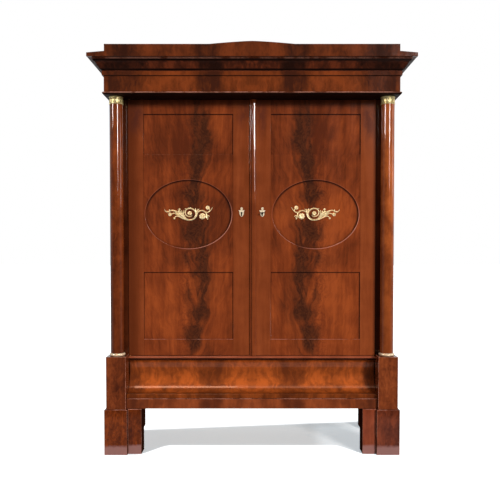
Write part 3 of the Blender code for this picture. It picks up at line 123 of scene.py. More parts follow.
class Graph:
    """Wires a material or the world. Numbers and colours go straight into sockets, values are linked."""

    def __init__(self, owner):
        owner.use_nodes = True
        self.owner, self.tree = owner, owner.node_tree
        self.shader = self.tree.nodes.get("Principled BSDF") or self.tree.nodes["Background"]
        self.place = self.outputs("ShaderNodeTexCoord", "Object")[0]

    def add(self, kind, **settings):
        node = self.tree.nodes.new(kind)
        for key, value in settings.items():
            setattr(node, key, value)
        return node

    def feed(self, socket, value):
        if isinstance(value, Value):
            self.tree.links.new(value.socket, socket)
        else:
            socket.default_value = value

    def fill(self, node, *values):
        for socket, value in zip(node.inputs, values):
            self.feed(socket, value)
        return Value(self, node.outputs[0])

    def outputs(self, kind, *names):
        node = self.add(kind)
        return [Value(self, node.outputs[name]) for name in names]

    def maths(self, operation, *values):
        return self.fill(self.add("ShaderNodeMath", operation=operation), *values)

    def vector(self, operation, *values):
        return self.fill(self.add("ShaderNodeVectorMath", operation=operation), *values)

    def length(self, vector):
        return Value(self, self.vector("LENGTH", vector).socket.node.outputs["Value"])

    def parts(self, vector):
        node = self.add("ShaderNodeSeparateXYZ")
        self.fill(node, vector)
        return [Value(self, socket) for socket in node.outputs]

    def join(self, x, y, z):
        return self.fill(self.add("ShaderNodeCombineXYZ"), x, y, z)

    def stretch(self, vector, scale):
        return self.fill(self.add("ShaderNodeMapping"), vector, (0, 0, 0), (0, 0, 0), scale)

    def noise(self, vector, scale=1.0, detail=3.0, rough=0.5, twist=0.0, output=0):
        node = self.add("ShaderNodeTexNoise")
        self.feed(node.inputs["Vector"], vector)
        settings = {"Scale": scale, "Detail": detail, "Roughness": rough, "Distortion": twist}
        for name, value in settings.items():
            node.inputs[name].default_value = value
        return Value(self, node.outputs[output])

    def grain(self, place, along, across, run, **looks):
        """Noise squeezed across the grain and stretched along it."""
        return self.noise(self.stretch(place, [run if axis == along else across for axis in "xyz"]), **looks)

    def step(self, value, low, high, start=0.0, end=1.0, kind="SMOOTHSTEP"):
        node = self.add("ShaderNodeMapRange", interpolation_type=kind)
        return self.fill(node, value, low, high, start, end)

    def curve(self, value, points):
        node = self.add("ShaderNodeFloatCurve")
        line = node.mapping.curves[0]
        for spot in points[2:]:
            line.points.new(*spot)
        for point, spot in zip(line.points, sorted(points)):
            point.location = spot
        node.mapping.update()
        self.feed(node.inputs["Value"], value)
        return Value(self, node.outputs[0])

    def mix(self, share, first, second, blend="MIX"):
        node = self.add("ShaderNodeMix", data_type="RGBA", blend_type=blend)
        for index, value in ((0, share), (6, first), (7, second)):
            self.feed(node.inputs[index], value)
        return Value(self, node.outputs[2])

    def bump(self, height, distance, strength):
        node = self.add("ShaderNodeBump")
        for name, value in (("Height", height), ("Distance", distance), ("Strength", strength)):
            self.feed(node.inputs[name], value)
        self.feed(self.shader.inputs["Normal"], Value(self, node.outputs[0]))

    def surface(self, colour, roughness, **constants):
        self.feed(self.shader.inputs["Base Color"], colour)
        self.feed(self.shader.inputs["Roughness"], roughness)
        for name, value in constants.items():
            self.shader.inputs[name.replace("_", " ")].default_value = value
        return self.owner


def new_material(name):
    return Graph(bpy.data.materials.new(name))


def tint(red, green, blue):
    """A colour as a paint maker's card gives it, 0 to 255, made into the shader's linear values."""
    shares = [value / 255 for value in (red, green, blue)]
    linear = [share / 12.92 if share < 0.04045 else ((share + 0.055) / 1.055) ** 2.4 for share in shares]
    return (*linear, 1.0)


print("node helper ready")

# %% [markdown]
# ## French-polished mahogany
# Mahogany is a warm red brown with ribbons of tone along the grain, finer streaks inside them and tiny dark
# pores. Noise stretched along the grain gives each of the three; the polish over them is a thin, even gloss,
# so it is a low roughness with hardly any bump. A wood's shades are its dark, its middle and its pale tone.

# %% Plain mahogany
GLOSS = {"Specular_IOR_Level": 0.28, "Coat_Weight": 0.22, "Coat_Roughness": 0.03, "Coat_IOR": 1.45}
PORE_BROWN = tint(52, 22, 12)
# The pink below paints a reflection of the floor along the feet's lowest few centimetres.
FLOOR_GLINT_PINK = tint(144, 104, 99)
GLINT_LOW, GLINT_HIGH = 0.046, 0.066
SHADE_LOW, SHADE_HIGH = 0.60, 1.20


def warp(g, place, amount, scale, detail=3):
    """Pushes a place about by noise, so that whatever is drawn there gets a natural, torn edge."""
    centred = g.vector("SUBTRACT", g.noise(place, scale, detail, output=1), (0.5, 0.5, 0.5))
    return g.vector("ADD", place, g.vector("MULTIPLY", centred, (amount, amount, amount)))


def wood_ground(g, along, shades, shift=0.0, place=None):
    """Clouds, ribbons, streaks and pores of mahogany: its colour, its height and its ribbon."""
    dark, middle, pale = (tint(*shade) for shade in shades)
    moved = warp(g, place or g.place, 0.03, 4)
    ribbon = g.grain(moved, along, 17, 1.5, twist=0.3)
    streak = g.grain(moved, along, 75, 4.5, detail=4, rough=0.55)
    pores = g.grain(moved, along, 1300, 42, detail=2)
    haze = g.noise(moved, 9, 3, 0.55)
    tone = ribbon * 0.9 + haze * 0.9 + streak * 0.55 - 0.675 + shift
    colour = g.mix(g.step(tone, 0.02, 0.60), dark, middle)
    colour = g.mix(g.step(tone, 0.42, 1.02), colour, pale)
    pits = g.step(pores, 0.60, 0.72)
    return g.mix(pits * 0.30, colour, PORE_BROWN), streak * 0.4 - pits * 0.4, ribbon


def polish(g, colour, height, ribbon, gloss=0.10, shine=1.0):
    """Lays the gloss over a wood's colour. Shine below 1 is an older, thinner polish."""
    g.bump(height, 0.00002, 0.4)
    g.surface(colour, g.step(ribbon, 0.25, 0.75, gloss, gloss + 0.07), **GLOSS)
    for name in ("Specular IOR Level", "Coat Weight"):
        g.shader.inputs[name].default_value *= shine
    return g.owner


def mahogany(name, along, shades, floor_glint=False, burr=0.0, gloss=0.10, shine=1.0, low_shade=0.0):
    """A wood with its grain along one axis. Burr curls the figure, low_shade paints shade low on a post."""
    g = new_material(name)
    curl = (g.grain(g.place, along, 30, 17, detail=4, rough=0.6, twist=2.4) - 0.5) * (2.2 * burr)
    torn = warp(g, g.place, 0.05 * burr + 0.005, 14)
    colour, height, ribbon = wood_ground(g, along, shades, curl, torn)
    cloud = g.noise(g.stretch(g.place, (7, 7, 7)), twist=0.8)
    colour = g.mix(g.step(cloud, 0.50, 0.72, 0.0, 0.45), colour, tint(*shades[0]))
    up = g.parts(g.place)[2]
    # Painted shade: a post grows darker towards its lower part.
    if low_shade:
        colour = g.mix(g.step(up, SHADE_LOW, SHADE_HIGH, low_shade, 0.0), colour, tint(*shades[0]))
    # Painted reflection of the floor: a pale pink band with a ragged top low on a foot.
    if floor_glint:
        ragged = up + g.noise(g.place, 60, 4) * 0.016
        colour = g.mix(g.step(ragged, GLINT_LOW, GLINT_HIGH, 0.80, 0.0), colour, FLOOR_GLINT_PINK)
    return polish(g, colour, height, ribbon, gloss, shine)


WARM = ((78, 32, 15), (112, 48, 21), (146, 70, 31))
LEFT_COLUMN = ((70, 28, 12), (112, 50, 20), (150, 72, 31))
RIGHT_COLUMN = ((104, 46, 20), (164, 82, 36), (192, 102, 48))
wood_up = mahogany("mahogany_upright", "z", WARM)
# The carcase stiles are painted nearly black: painted shade for the strips they show beside the columns.
stile_painted_shade = mahogany("mahogany_stiles_painted_shade", "z", ((40, 15, 6), (66, 26, 9), (88, 38, 15)))
wood_back = mahogany("mahogany_front_to_back", "y", WARM)
wood_block = mahogany("mahogany_blocks", "z", ((66, 28, 15), (106, 48, 22), (140, 68, 32)), burr=0.45)
wood_foot = mahogany("mahogany_feet", "z", ((62, 24, 9), (100, 42, 14), (140, 64, 22)), True, 0.55, shine=0.4)
wood_foot_dark = mahogany(
    "mahogany_right_foot", "z", ((54, 21, 12), (88, 38, 21), (122, 56, 31)), True, 0.45, shine=0.6
)
wood_foot_plain = mahogany(
    "mahogany_right_inner_foot", "z", ((98, 42, 24), (130, 60, 36), (152, 76, 48)), True, 0.15, shine=0.4
)
# low_shade paints shade over the lower part of each column.
wood_column = {
    "left": mahogany("mahogany_column_left", "z", LEFT_COLUMN, burr=0.25, gloss=0.04, low_shade=0.40),
    "right": mahogany("mahogany_column_right", "z", RIGHT_COLUMN, burr=0.25, gloss=0.04, low_shade=0.65),
}
wood_bead = mahogany("mahogany_bead", "z", ((92, 38, 18), (118, 54, 24), (140, 66, 32)), gloss=0.04)
wood_waist = mahogany("mahogany_waist", "x", ((110, 52, 32), (150, 74, 46), (172, 94, 62)))
# The near-black browns below paint shade: on the feet's inner sides and on the drawer's lip.
PAINTED_SHADE_BROWNS = ((34, 14, 8), (52, 23, 13), (70, 32, 18))
LINES = ((74, 34, 22), (104, 50, 32), (134, 68, 46))
painted_shade_wood = mahogany("mahogany_painted_shade", "z", PAINTED_SHADE_BROWNS, gloss=0.6, shine=0.0)
wood_line = mahogany("mahogany_lines", "x", LINES, gloss=0.3, shine=0.5)
# The near-black browns below paint the shadow on soffits and undersides.
soffit_painted_shadow = mahogany("mahogany_painted_soffit_shadow", "x", ((20, 8, 5), (32, 13, 7), (46, 21, 12)), gloss=0.4, shine=0.12)
# A near-black finish that paints the shadow inside the keyhole.
keyhole_shadow = mahogany("keyhole_painted_shadow", "z", ((8, 5, 4), (14, 9, 7), (24, 16, 12)), gloss=0.7, shine=0.0)
print("straight-grained woods made")

# %% [markdown]
# ## The matched figure of the front
# The front is laid with veneers cut one after the other from a crotch and opened like a book, so the left
# and right halves nearly mirror each other. A chain of dark smoky clouds runs up each door; small curls lie
# on its outer side and soft streaks lean in towards it. The absolute value of x opens the book. Each cloud
# is a soft dab: its place across and up, its reach across and up and its strength, all in thousandths.
# Noise tears the dabs' edges. Core dabs are mirrored from door to door, loose dabs and tone dabs aren't.

# %% Figured mahogany
STILE_INNER, STILE_OUTER, PANEL_X = 0.105, 0.6015, 0.3532
LOWER_PANEL, UPPER_PANEL = (0.619, 0.994), (1.646, 1.869)
OVAL_HALF_WIDTH, OVAL_HALF_HEIGHT, OVAL_Z = 0.2395, 0.19, 1.3155
CORE_X, HALO_X = 0.305, 0.292
JOINT_HALF = 0.0006
# The corner brown paints shadow lines inside the panels' edges; the rim pink paints a highlight on the oval's
# lower rim.
JOINT_BROWN, PANEL_SHADOW_BROWN, RIM_HIGHLIGHT_PINK = tint(44, 18, 10), tint(24, 10, 7), tint(186, 118, 98)
CORE_DABS = (
    (284, 1830, 40, 75, 850), (262, 1730, 42, 60, 850), (292, 1655, 34, 55, 650),
    (306, 1560, 26, 65, 850), (328, 1440, 40, 55, 850), (372, 1390, 34, 40, 400),
    (330, 1270, 55, 60, 850), (322, 1185, 48, 55, 750), (268, 1060, 30, 65, 950),
    (350, 1070, 26, 45, 550), (284, 975, 34, 36, 750), (360, 870, 18, 65, 500), (273, 850, 24, 75, 750),
    (302, 766, 34, 42, 850), (324, 655, 34, 50, 850), (320, 580, 26, 34, 600), (512, 1725, 55, 80, 220),
    (440, 1060, 55, 45, 300), (155, 1330, 50, 75, 320), (150, 1130, 34, 65, 300),
    (150, 1800, 40, 80, 180),
)
LOOSE_DABS = (
    (650, 1835, 40, 120, 750), (-645, 1850, 50, 90, 700), (-40, 1860, 36, 80, 600),
    (50, 1850, 36, 100, 650), (-122, 680, 22, 90, 400), (205, 810, 65, 150, 420),
    (-225, 900, 50, 60, 200), (340, 1300, 60, 80, -180),
)
TONE_DABS = (
    (175, 1340, 80, 90, 160), (500, 1310, 90, 120, 420), (480, 820, 85, 170, 280),
    (-300, 1760, 260, 130, -120), (300, 1760, 260, 130, -140), (-460, 800, 100, 170, 100),
    (-180, 1250, 90, 130, -220), (-190, 1770, 75, 110, 360), (535, 1770, 70, 110, 380),
    (-320, 1280, 80, 120, -120), (-440, 1300, 90, 110, -60), (160, 1560, 60, 90, -100),
    (353, 1315, 160, 130, 170),
)


def dabs(g, place, marks, total=None, spread=1.0):
    """The sum of soft round marks in the plane of the front. Spread widens them sideways."""
    for mark in marks:
        x, z, wide, high, strength = (number / 1000 for number in mark)
        near = g.vector("SUBTRACT", place, (x, 0, z))
        near = g.vector("MULTIPLY", near, (1 / (wide * spread), 0, 1 / high))
        soft = g.step(g.length(near), 0.10, 1.95, strength, 0.0)
        total = total + soft if total else soft
    return total


def near_line(g, gap, width, strength, low, high, along):
    """A soft line of painted shadow on the inner side of an edge, only between two heights or widths."""
    line = g.step(gap, 0.15 * width, width, strength, 0.0)
    inside = g.step(gap, -0.0004, 0.0) * g.step(along, low - 0.0003, low + 0.0003)
    return line * inside * g.step(along, high - 0.0003, high + 0.0003, 1.0, 0.0)


def painted_panel_shadows(g, across, z):
    """Painted shadow lines inside the panels' edges, most at the top and the right, and a painted highlight on
    the oval's lower rim.
    """
    half = (STILE_OUTER - STILE_INNER) / 2
    total = None
    for low, high in (LOWER_PANEL, UPPER_PANEL):
        for gap, along, start, end, width, strength in (
            (high - z, across, -half, half, 0.0085, 0.92),
            (half - across, z, low, high, 0.0075, 0.85),
            (across + half, z, low, high, 0.0045, 0.45),
        ):
            line = near_line(g, gap, width, strength, start, end, along)
            total = g.maths("MAXIMUM", total, line) if total else line
    spot = g.join(across / OVAL_HALF_WIDTH, 0.0, (z - OVAL_Z) / OVAL_HALF_HEIGHT)
    gap = (1.0 - g.length(spot)) * 0.21
    upper = g.step(z + across * 0.35, 1.22, 1.36, 0.25, 0.86)
    ring = near_line(g, gap, 0.0135, 1.0, -1.0, 1.0, across)
    low_right = g.step(across * 0.8 - (z - OVAL_Z), 0.08, 0.24, 0.12, 0.80)
    rim = g.step(abs(gap + 0.0022), 0.0008, 0.0030, 1.0, 0.0)
    return g.maths("MAXIMUM", total, ring * upper), rim * low_right


def door_wood():
    """The doors' veneer: the figure between the stiles, straight grain on them, their joint lines, and painted
    shade and highlights.
    """
    g = new_material("mahogany_doors")
    x, y, z = g.parts(g.place)
    side = abs(x)
    torn = warp(g, warp(g, g.join(side, 0.0, z), 0.085, 9, 3), 0.006, 30, 2)
    free = warp(g, warp(g, g.join(x, 0.0, z), 0.065, 10, 3), 0.006, 30, 2)
    torn_x = g.parts(torn)[0]
    lean = abs(torn_x - CORE_X) * 42 - z * 11
    plume = g.noise(g.join(lean, 0.0, z * 3.0))
    fan = g.noise(g.join(lean * 3.1, 2.0, z * 9.0), rough=0.55)
    tone = dabs(g, free, TONE_DABS) + (plume - 0.5) * 0.62 + (fan - 0.5) * 0.42
    # The figure lightens low on the doors and darkens high up: partly tone, partly painted light and shade.
    tone = tone + g.step(z, 0.55, 1.65, 0.05, -0.10)
    figure = wood_ground(g, "z", ((88, 38, 18), (124, 55, 24), (154, 72, 31)), tone)[0]
    curls = g.noise(g.stretch(torn, (42, 42, 36)), detail=2, twist=2.2)
    beside = g.step(torn_x, 0.320, 0.350) * g.step(torn_x, 0.385, 0.440, 1.0, 0.0)
    figure = g.mix(g.step(curls, 0.50, 0.40) * (beside * 0.40), figure, tint(88, 36, 20))
    core = dabs(g, free, LOOSE_DABS, dabs(g, torn, CORE_DABS, None, 1.2))
    smoke = g.noise(g.stretch(torn, (26, 26, 9)), rough=0.55, twist=0.5)
    core = core * g.step(smoke, 0.32, 0.60, 0.50, 1.20)
    halo = g.step(abs(torn_x - HALO_X), 0.015, 0.110, 0.42, 0.0)
    core = g.step(core + halo * g.step(plume, 0.36, 0.62, 1.3, 0.3), 0.0, 1.12, 0.0, 0.94)
    shade = g.mix(g.step(curls, 0.30, 0.72), tint(52, 26, 16), tint(80, 40, 22))
    colour = g.mix(core, figure, shade)
    # Straight grain grows lighter towards the right: partly tone, partly painted light from the lamp on the
    # right.
    bright = g.step(x, 0.040, 0.640, 0.04, 0.34)
    straight, height, ribbon = wood_ground(g, "z", ((110, 50, 22), (138, 65, 31), (160, 79, 39)), bright)
    # Straight grain is darkened a little everywhere, most at the left door's hinge edge as painted shade by
    # the column.
    straight = g.mix(g.step(x, -0.665, -0.600, 0.85, 0.30), straight, tint(86, 36, 13))
    straight = g.mix(core * 0.85, straight, tint(70, 34, 28))
    inner = g.step(side, STILE_INNER - JOINT_HALF, STILE_INNER + JOINT_HALF, 1.0, 0.0)
    outer = g.step(side, STILE_OUTER - JOINT_HALF, STILE_OUTER + JOINT_HALF)
    colour = g.mix(inner + outer, colour, straight)
    for line in (STILE_INNER, STILE_OUTER):
        colour = g.mix(g.step(abs(side - line), 0.0004, 0.0014, 0.55, 0.0), colour, JOINT_BROWN)
    # Painted shadow under the cornice, darkening the doors' tops.
    colour = g.mix(g.step(z, 1.895, 1.955, 0.0, 0.72), colour, tint(36, 16, 9))
    # Painted shadow lines inside the panels' edges and a painted highlight on the oval's lower rim.
    corners, rim = painted_panel_shadows(g, x - g.maths("SIGN", x) * PANEL_X, z)
    colour = g.mix(rim, colour, RIM_HIGHLIGHT_PINK)
    return polish(g, g.mix(corners, colour, PANEL_SHADOW_BROWN), height, ribbon)


# Each curve lists its two ends first. One paints light and shade on the drawer's front by height, the other
# gives a board's tone by its distance from the middle.
DRAWER_LOW, DRAWER_HEIGHT = 0.300, 0.210
DRAWER_LIGHT_AND_SHADE = [
    (0.0, 0.41), (1.0, 0.61), (0.130, 0.42), (0.158, 0.63), (0.214, 0.68), (0.271, 0.74), (0.343, 0.77),
    (0.452, 0.68), (0.571, 0.58), (0.762, 0.57),
]
BAND_TONE = [
    (0.0, 0.74), (1.0, 0.40), (0.13, 0.70), (0.205, 0.06), (0.260, 0.10), (0.340, 0.68), (0.53, 0.66),
    (0.63, 0.26), (0.71, 0.04), (0.80, 0.40),
]


def band_wood(name, shades, swing, mottle=0.7, gloss=0.10, shine=1.0, rise=None):
    """Upright figure of the long boards, whose tone swings along them. Rise paints light and shade by height.
    """
    g = new_material(name)
    x, y, z = g.parts(g.place)
    folded = g.join(abs(x), y, z)
    torn = warp(g, warp(g, folded, 0.10, 5, 3), 0.06, 15, 4)
    tone = (g.curve(g.parts(torn)[0], BAND_TONE) - 0.5) * swing
    curls = g.noise(g.stretch(torn, (30, 30, 11)), detail=4, rough=0.55, twist=1.0)
    tone = tone + (curls - 0.5) * mottle
    colour, height, ribbon = wood_ground(g, "z", shades, tone, warp(g, folded, 0.035, 11, 3))
    # Painted light and shade: the hollow darker at its top, brightest on its lower sweep, darkest under the
    # nose.
    if rise:
        level = g.curve((z - DRAWER_LOW) / DRAWER_HEIGHT, rise) * 1.5
        colour = g.mix(1.0, colour, g.join(level, level, level), "MULTIPLY")
    return polish(g, colour, height, ribbon, gloss, shine)


def arris_highlight_material():
    """A painted highlight for the arrises: pale, patchy polish colour where the edges would catch the light.
    """
    g = new_material("mahogany_painted_arris_highlight")
    patch = g.noise(g.place, 14, 4, 0.6)
    fine = g.noise(g.place, 160, 3)
    colour = g.mix(g.step(patch, 0.36, 0.60), tint(112, 56, 36), tint(206, 140, 118))
    colour = g.mix(g.step(fine, 0.35, 0.65, 0.35, 0.0), colour, tint(90, 42, 26))
    g.bump(fine, 0.00002, 0.3)
    return g.surface(colour, g.step(patch, 0.3, 0.7, 0.22, 0.34), **GLOSS)


# The arrises' pale, patchy colour is a painted highlight.
painted_edge_light = arris_highlight_material()
wood_door = door_wood()
FRIEZE, CORNICE = ((62, 29, 17), (100, 46, 20), (132, 61, 26)), ((36, 16, 10), (64, 28, 15), (104, 46, 23))
wood_frieze = band_wood("mahogany_frieze", FRIEZE, 0.85, 0.9, shine=0.55)
wood_attic = band_wood("mahogany_attic", ((52, 24, 14), (88, 40, 18), (116, 53, 23)), 0.75, 0.9)
wood_cornice = band_wood("mahogany_cornice", CORNICE, 0.7, 1.3, 0.25, 0.25)
wood_drawer = band_wood(
    "mahogany_drawer", ((104, 48, 21), (138, 65, 25), (182, 87, 33)), 0.45, 1.2, 0.075, rise=DRAWER_LIGHT_AND_SHADE
)
wood_rail = band_wood("mahogany_rail", ((84, 38, 20), (112, 52, 25), (148, 72, 35)), 0.6)
print("figured veneers made")

# %% [markdown]
# ## Brass, bone, iron and bare wood
# The mounts are cast brass that has been lacquered: pale gold, a little uneven, with brown left in the
# hollows. Pointiness finds the hollows. Bone is a creamy, almost matt white; the key and the lock are dark
# iron; the boards inside and at the back are bare softwood with brown growth lines, and each back board has
# a growth and a tone of its own.

# %% Metals and others
HOLLOW_BROWN = tint(70, 46, 16)
BACK_BOARDS = 7


def brass(name, bright, deep, roughness, grime, metallic=0.62):
    g = new_material(name)
    patches = g.noise(g.place, 90, 4, 0.6)
    point = g.outputs("ShaderNodeNewGeometry", "Pointiness")[0]
    colour = g.mix(g.step(patches, 0.35, 0.70), tint(*deep), tint(*bright))
    colour = g.mix(g.step(point, 0.44, 0.50, grime, 0.0), colour, HOLLOW_BROWN)
    g.bump(g.noise(g.place, 900, 3), 0.00006, 0.4)
    gloss = g.step(patches, 0.3, 0.7, roughness, roughness + 0.1)
    return g.surface(colour, gloss, Metallic=metallic, Specular_IOR_Level=0.5)


def bone():
    g = new_material("bone")
    streak = g.noise(g.stretch(g.place, (300, 300, 40)), detail=4)
    colour = g.mix(g.step(streak, 0.35, 0.7), tint(216, 194, 158), tint(240, 226, 200))
    speck = g.noise(g.place, 500, 2)
    colour = g.mix(g.step(speck, 0.66, 0.76, 0.0, 0.5), colour, tint(150, 118, 80))
    g.bump(streak, 0.00005, 0.4)
    return g.surface(colour, g.step(streak, 0.3, 0.7, 0.34, 0.48), Specular_IOR_Level=0.4)


def iron():
    g = new_material("iron")
    rust = g.noise(g.place, 240, 5, 0.65)
    colour = g.mix(g.step(rust, 0.42, 0.68), tint(36, 38, 30), tint(66, 60, 44))
    g.bump(rust, 0.0001, 0.5)
    return g.surface(colour, g.step(rust, 0.35, 0.7, 0.36, 0.6), Metallic=0.8, Specular_IOR_Level=0.5)


def softwood(name, along, board=0.0):
    """Bare wood. Where several boards of one width lie side by side, each gets its own growth and tone."""
    g = new_material(name)
    place = g.place
    if board:
        x, y, z = g.parts(g.place)
        number = g.maths("FLOOR", x / board + 0.5)
        place = g.join(x, number * 3.7, z)
        own = g.noise(g.join(number * 5.31, 0.5, 0.5), detail=0)
    rings = g.maths("SINE", g.grain(place, along, 34, 1.1, detail=4, twist=0.5) * 62)
    colour = g.mix(g.step(rings, -0.2, 0.95, 0.0, 0.7), tint(190, 148, 96), tint(142, 96, 54))
    fibre = g.grain(g.place, along, 420, 12)
    colour = g.mix(g.step(fibre, 0.45, 0.75, 0.0, 0.5), colour, tint(112, 74, 42))
    if board:
        colour = g.mix(g.step(own, 0.30, 0.70, 0.0, 0.55), colour, tint(128, 84, 50))
    dust = g.noise(g.place, 6, 4)
    colour = g.mix(g.step(dust, 0.45, 0.75, 0.0, 0.35), colour, tint(104, 78, 54))
    g.bump(fibre, 0.0003, 0.5)
    return g.surface(colour, g.step(fibre, 0.3, 0.7, 0.62, 0.82), Specular_IOR_Level=0.25)


brass_pale = brass("brass_mounts", (255, 240, 194), (232, 202, 146), 0.26, 0.85, 0.40)
brass_sleeve = brass("brass_sleeves", (238, 224, 170), (200, 182, 118), 0.30, 0.80)
brass_ring = brass("brass_rings", (248, 228, 196), (232, 204, 168), 0.16, 0.1, 0.30)
brass_plain = brass("brass_fittings", (206, 170, 100), (168, 128, 66), 0.28, 0.3)
bone_cream = bone()
iron_dark = iron()
back_low, back_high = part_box("back_boards")
soft_up = softwood("softwood_upright", "z", (back_high.x - back_low.x) / BACK_BOARDS)
soft_across = softwood("softwood_lengthwise", "x")
soft_back = softwood("softwood_front_to_back", "y")
print("materials", len(bpy.data.materials))

# %% [markdown]
# ## From shape to piece
# A bmesh becomes a finished piece in one place only: its normals point outwards, its faces shade smooth up
# to a given angle, and it rides on the CAD body and stands for the CAD node that it dresses. Weighted
# normals let the large faces stay optically flat between their rounded arrises, as polished veneer does.
# Each finish belongs to one slot.

# %% Finishing helper
FLAT = 0.985
EDGE, THIN_EDGE = 0.0014, 0.001
SLOTS = {
    "polished_frame_wood": (
        wood_up, wood_block, wood_back, wood_rail, stile_painted_shade, wood_waist, soffit_painted_shadow, wood_bead,
    ),
    "polished_dark_wood": (wood_foot, wood_foot_dark, wood_foot_plain, wood_cornice, *wood_column.values()),
    "polished_figured_wood": (wood_frieze, wood_door, wood_attic, wood_drawer),
    "bare_softwood": (soft_up, soft_across, soft_back),
    "brass": (brass_pale, brass_sleeve, brass_ring),
    "bone": (bone_cream,),
    "iron": (iron_dark, keyhole_shadow),
}
made = []


def repaint(obj, material, test):
    """Gives the faces of a piece that pass a test another material."""
    obj.data.materials.append(material)
    for polygon in obj.data.polygons:
        if test(polygon):
            polygon.material_index = len(obj.data.materials) - 1


def piece(name, shape, material, body, stands_for=(), sharp=32, arris=None):
    """Turns a bmesh into a piece of the cupboard. Its slanting faces can take a second material."""
    bmesh.ops.recalc_face_normals(shape, faces=shape.faces)
    mesh = bpy.data.meshes.new(name)
    shape.to_mesh(mesh)
    shape.free()
    mesh.polygons.foreach_set("use_smooth", [True] * len(mesh.polygons))
    mesh.set_sharp_from_angle(angle=math.radians(sharp))
    mesh.materials.append(material)
    obj = bpy.data.objects.new(name, mesh)
    scene.collection.objects.link(obj)
    if arris:
        repaint(obj, arris, lambda face: max(abs(value) for value in face.normal) < FLAT)
    even = obj.modifiers.new("flat faces stay flat", "WEIGHTED_NORMAL")
    even.keep_sharp = True
    even.weight = 90
    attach(obj, body)
    if stands_for:
        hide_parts(*stands_for)
    slot = next(word for word, finishes in SLOTS.items() if material in finishes)
    made.append((name, len(mesh.polygons)))
    return obj


def dress(node, ending, shape, material, body="carcase", **looks):
    """A piece that stands for one CAD node and is named after it."""
    return piece(f"{node}_{ending}", shape, material, body, (node,), **looks)


def soften(shape, edges, width, segments=3):
    """Rounds the given edges over."""
    bmesh.ops.bevel(
        shape, geom=list(edges), offset=width, segments=segments, profile=0.5, affect="EDGES", material=-1
    )
    return shape


def block(low, high, edge=EDGE):
    """A board or block between two corners, with its arrises taken off."""
    low, high = Vector(low), Vector(high)
    shape = bmesh.new()
    place = Matrix.Translation((low + high) / 2) @ Matrix.Diagonal((*(high - low), 1.0))
    bmesh.ops.create_cube(shape, size=1.0, matrix=place)
    return soften(shape, shape.edges, edge)


def of_node(node, edge=EDGE):
    """A block exactly as big as a CAD node."""
    return block(*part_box(node), edge)


print("helpers ready")

# %% [markdown]
# ## Feet, plinth blocks and rail
# The stepped feet and the blocks that carry the columns are plain squared timber. A cube is scaled to the
# node's box and its arrises are rounded by a millimetre and a half, so that each edge catches a thin light,
# and the rounded arrises also carry a painted highlight; the feet's inner sides carry painted shade. The two
# feet on the right are cut from other boards. The rail reaches up close under the drawer's front, and its
# top carries a painted highlight.

# %% Feet, blocks, rail and plinth sides
SIDES = ("left", "right")
DRAWER_GAP = 0.0005
for word, inward in (("left", 1), ("right", -1)):
    for part in ("front_foot", "inner_foot", "back_foot"):
        node = f"{part}_{word}"
        wood = {"front_foot_right": wood_foot_dark, "inner_foot_right": wood_foot_plain}.get(node, wood_foot)
        # The foot's rounded arrises get a painted highlight.
        foot = dress(node, "block", of_node(node, 0.0016), wood, arris=painted_edge_light)
        # The inner side, facing under the cupboard, gets painted shade.
        repaint(foot, painted_shade_wood, lambda face: face.normal.x * inward > 0.6)
    node = f"plinth_block_{word}"
    # The block's rounded arrises get a painted highlight.
    dress(node, "body", of_node(node), wood_block, arris=painted_edge_light)
    node = f"base_side_{word}"
    dress(node, "board", of_node(node, THIN_EDGE), wood_back)
low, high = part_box("base_rail")
high.z = max(high.z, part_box("drawer_front")[0].z - DRAWER_GAP)
rail = dress("base_rail", "board", block(low, high, 0.0018), wood_rail, arris=wood_line)
# The rail's top faces get a painted highlight.
repaint(rail, painted_edge_light, lambda face: face.normal.z > 0.3)
print("blocks", len(made))

# %% [markdown]
# ## Copies of the joiner's boards
# Boards with housings, bores and seats already have their right shape in the CAD model. A CAD mesh is loose
# triangles, so a copy is welded, its flat faces are joined again, and its arrises can then be found and
# rounded. The cuts stay where the joiner made them. The board over the doors is painted in shadow all over,
# the underside of the waist's bead carries painted shade, and the upper side of the bead under the frieze a
# painted highlight.

# %% Refined copies
BEAD_DEPTH = 0.03
CRISP = math.radians(30)


def copy_of(node):
    """A welded copy of a CAD node with its flat faces joined."""
    shape = bmesh.new()
    shape.from_mesh(nodes[node].data)
    bmesh.ops.remove_doubles(shape, verts=shape.verts, dist=0.00001)
    flat = math.radians(0.4)
    bmesh.ops.dissolve_limit(shape, angle_limit=flat, verts=shape.verts, edges=shape.edges)
    return shape


def crisp_edges(shape, keep):
    """Edges that turn by more than 30 degrees and satisfy a test on both their ends."""
    found = []
    for edge in shape.edges:
        if len(edge.link_faces) == 2 and edge.calc_face_angle() > CRISP:
            if all(keep(vert.co) for vert in edge.verts):
                found.append(edge)
    return found


for word in SIDES:
    for node, body, wood in (
        (f"side_panel_{word}", "carcase", wood_up),
        (f"drawer_side_{word}", "drawer", soft_back),
        (f"drawer_runner_{word}", "carcase", soft_back),
    ):
        dress(node, "board", copy_of(node), wood, body)
    node = f"stile_{word}"
    # Its finish is painted shade.
    dress(node, "board", of_node(node, THIN_EDGE), stile_painted_shade)
for node in ("shelf_1", "shelf_2", "shelf_3"):
    dress(node, "board", of_node(node, 0.0015), soft_across)
dress("drawer_back", "board", of_node("drawer_back", THIN_EDGE), soft_across, "drawer")
dress("drawer_bottom", "board", of_node("drawer_bottom", 0.0008), soft_back, "drawer")
dress("back_boards", "joined", copy_of("back_boards"), soft_up)
floor_board = dress("cupboard_floor", "board", copy_of("cupboard_floor"), wood_waist, sharp=40)
floor_bead_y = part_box("cupboard_floor")[0].y + BEAD_DEPTH
# The underside of the waist's bead gets painted shade.
repaint(floor_board, soffit_painted_shadow, lambda face: face.center.y < floor_bead_y and face.normal.z < -0.45)
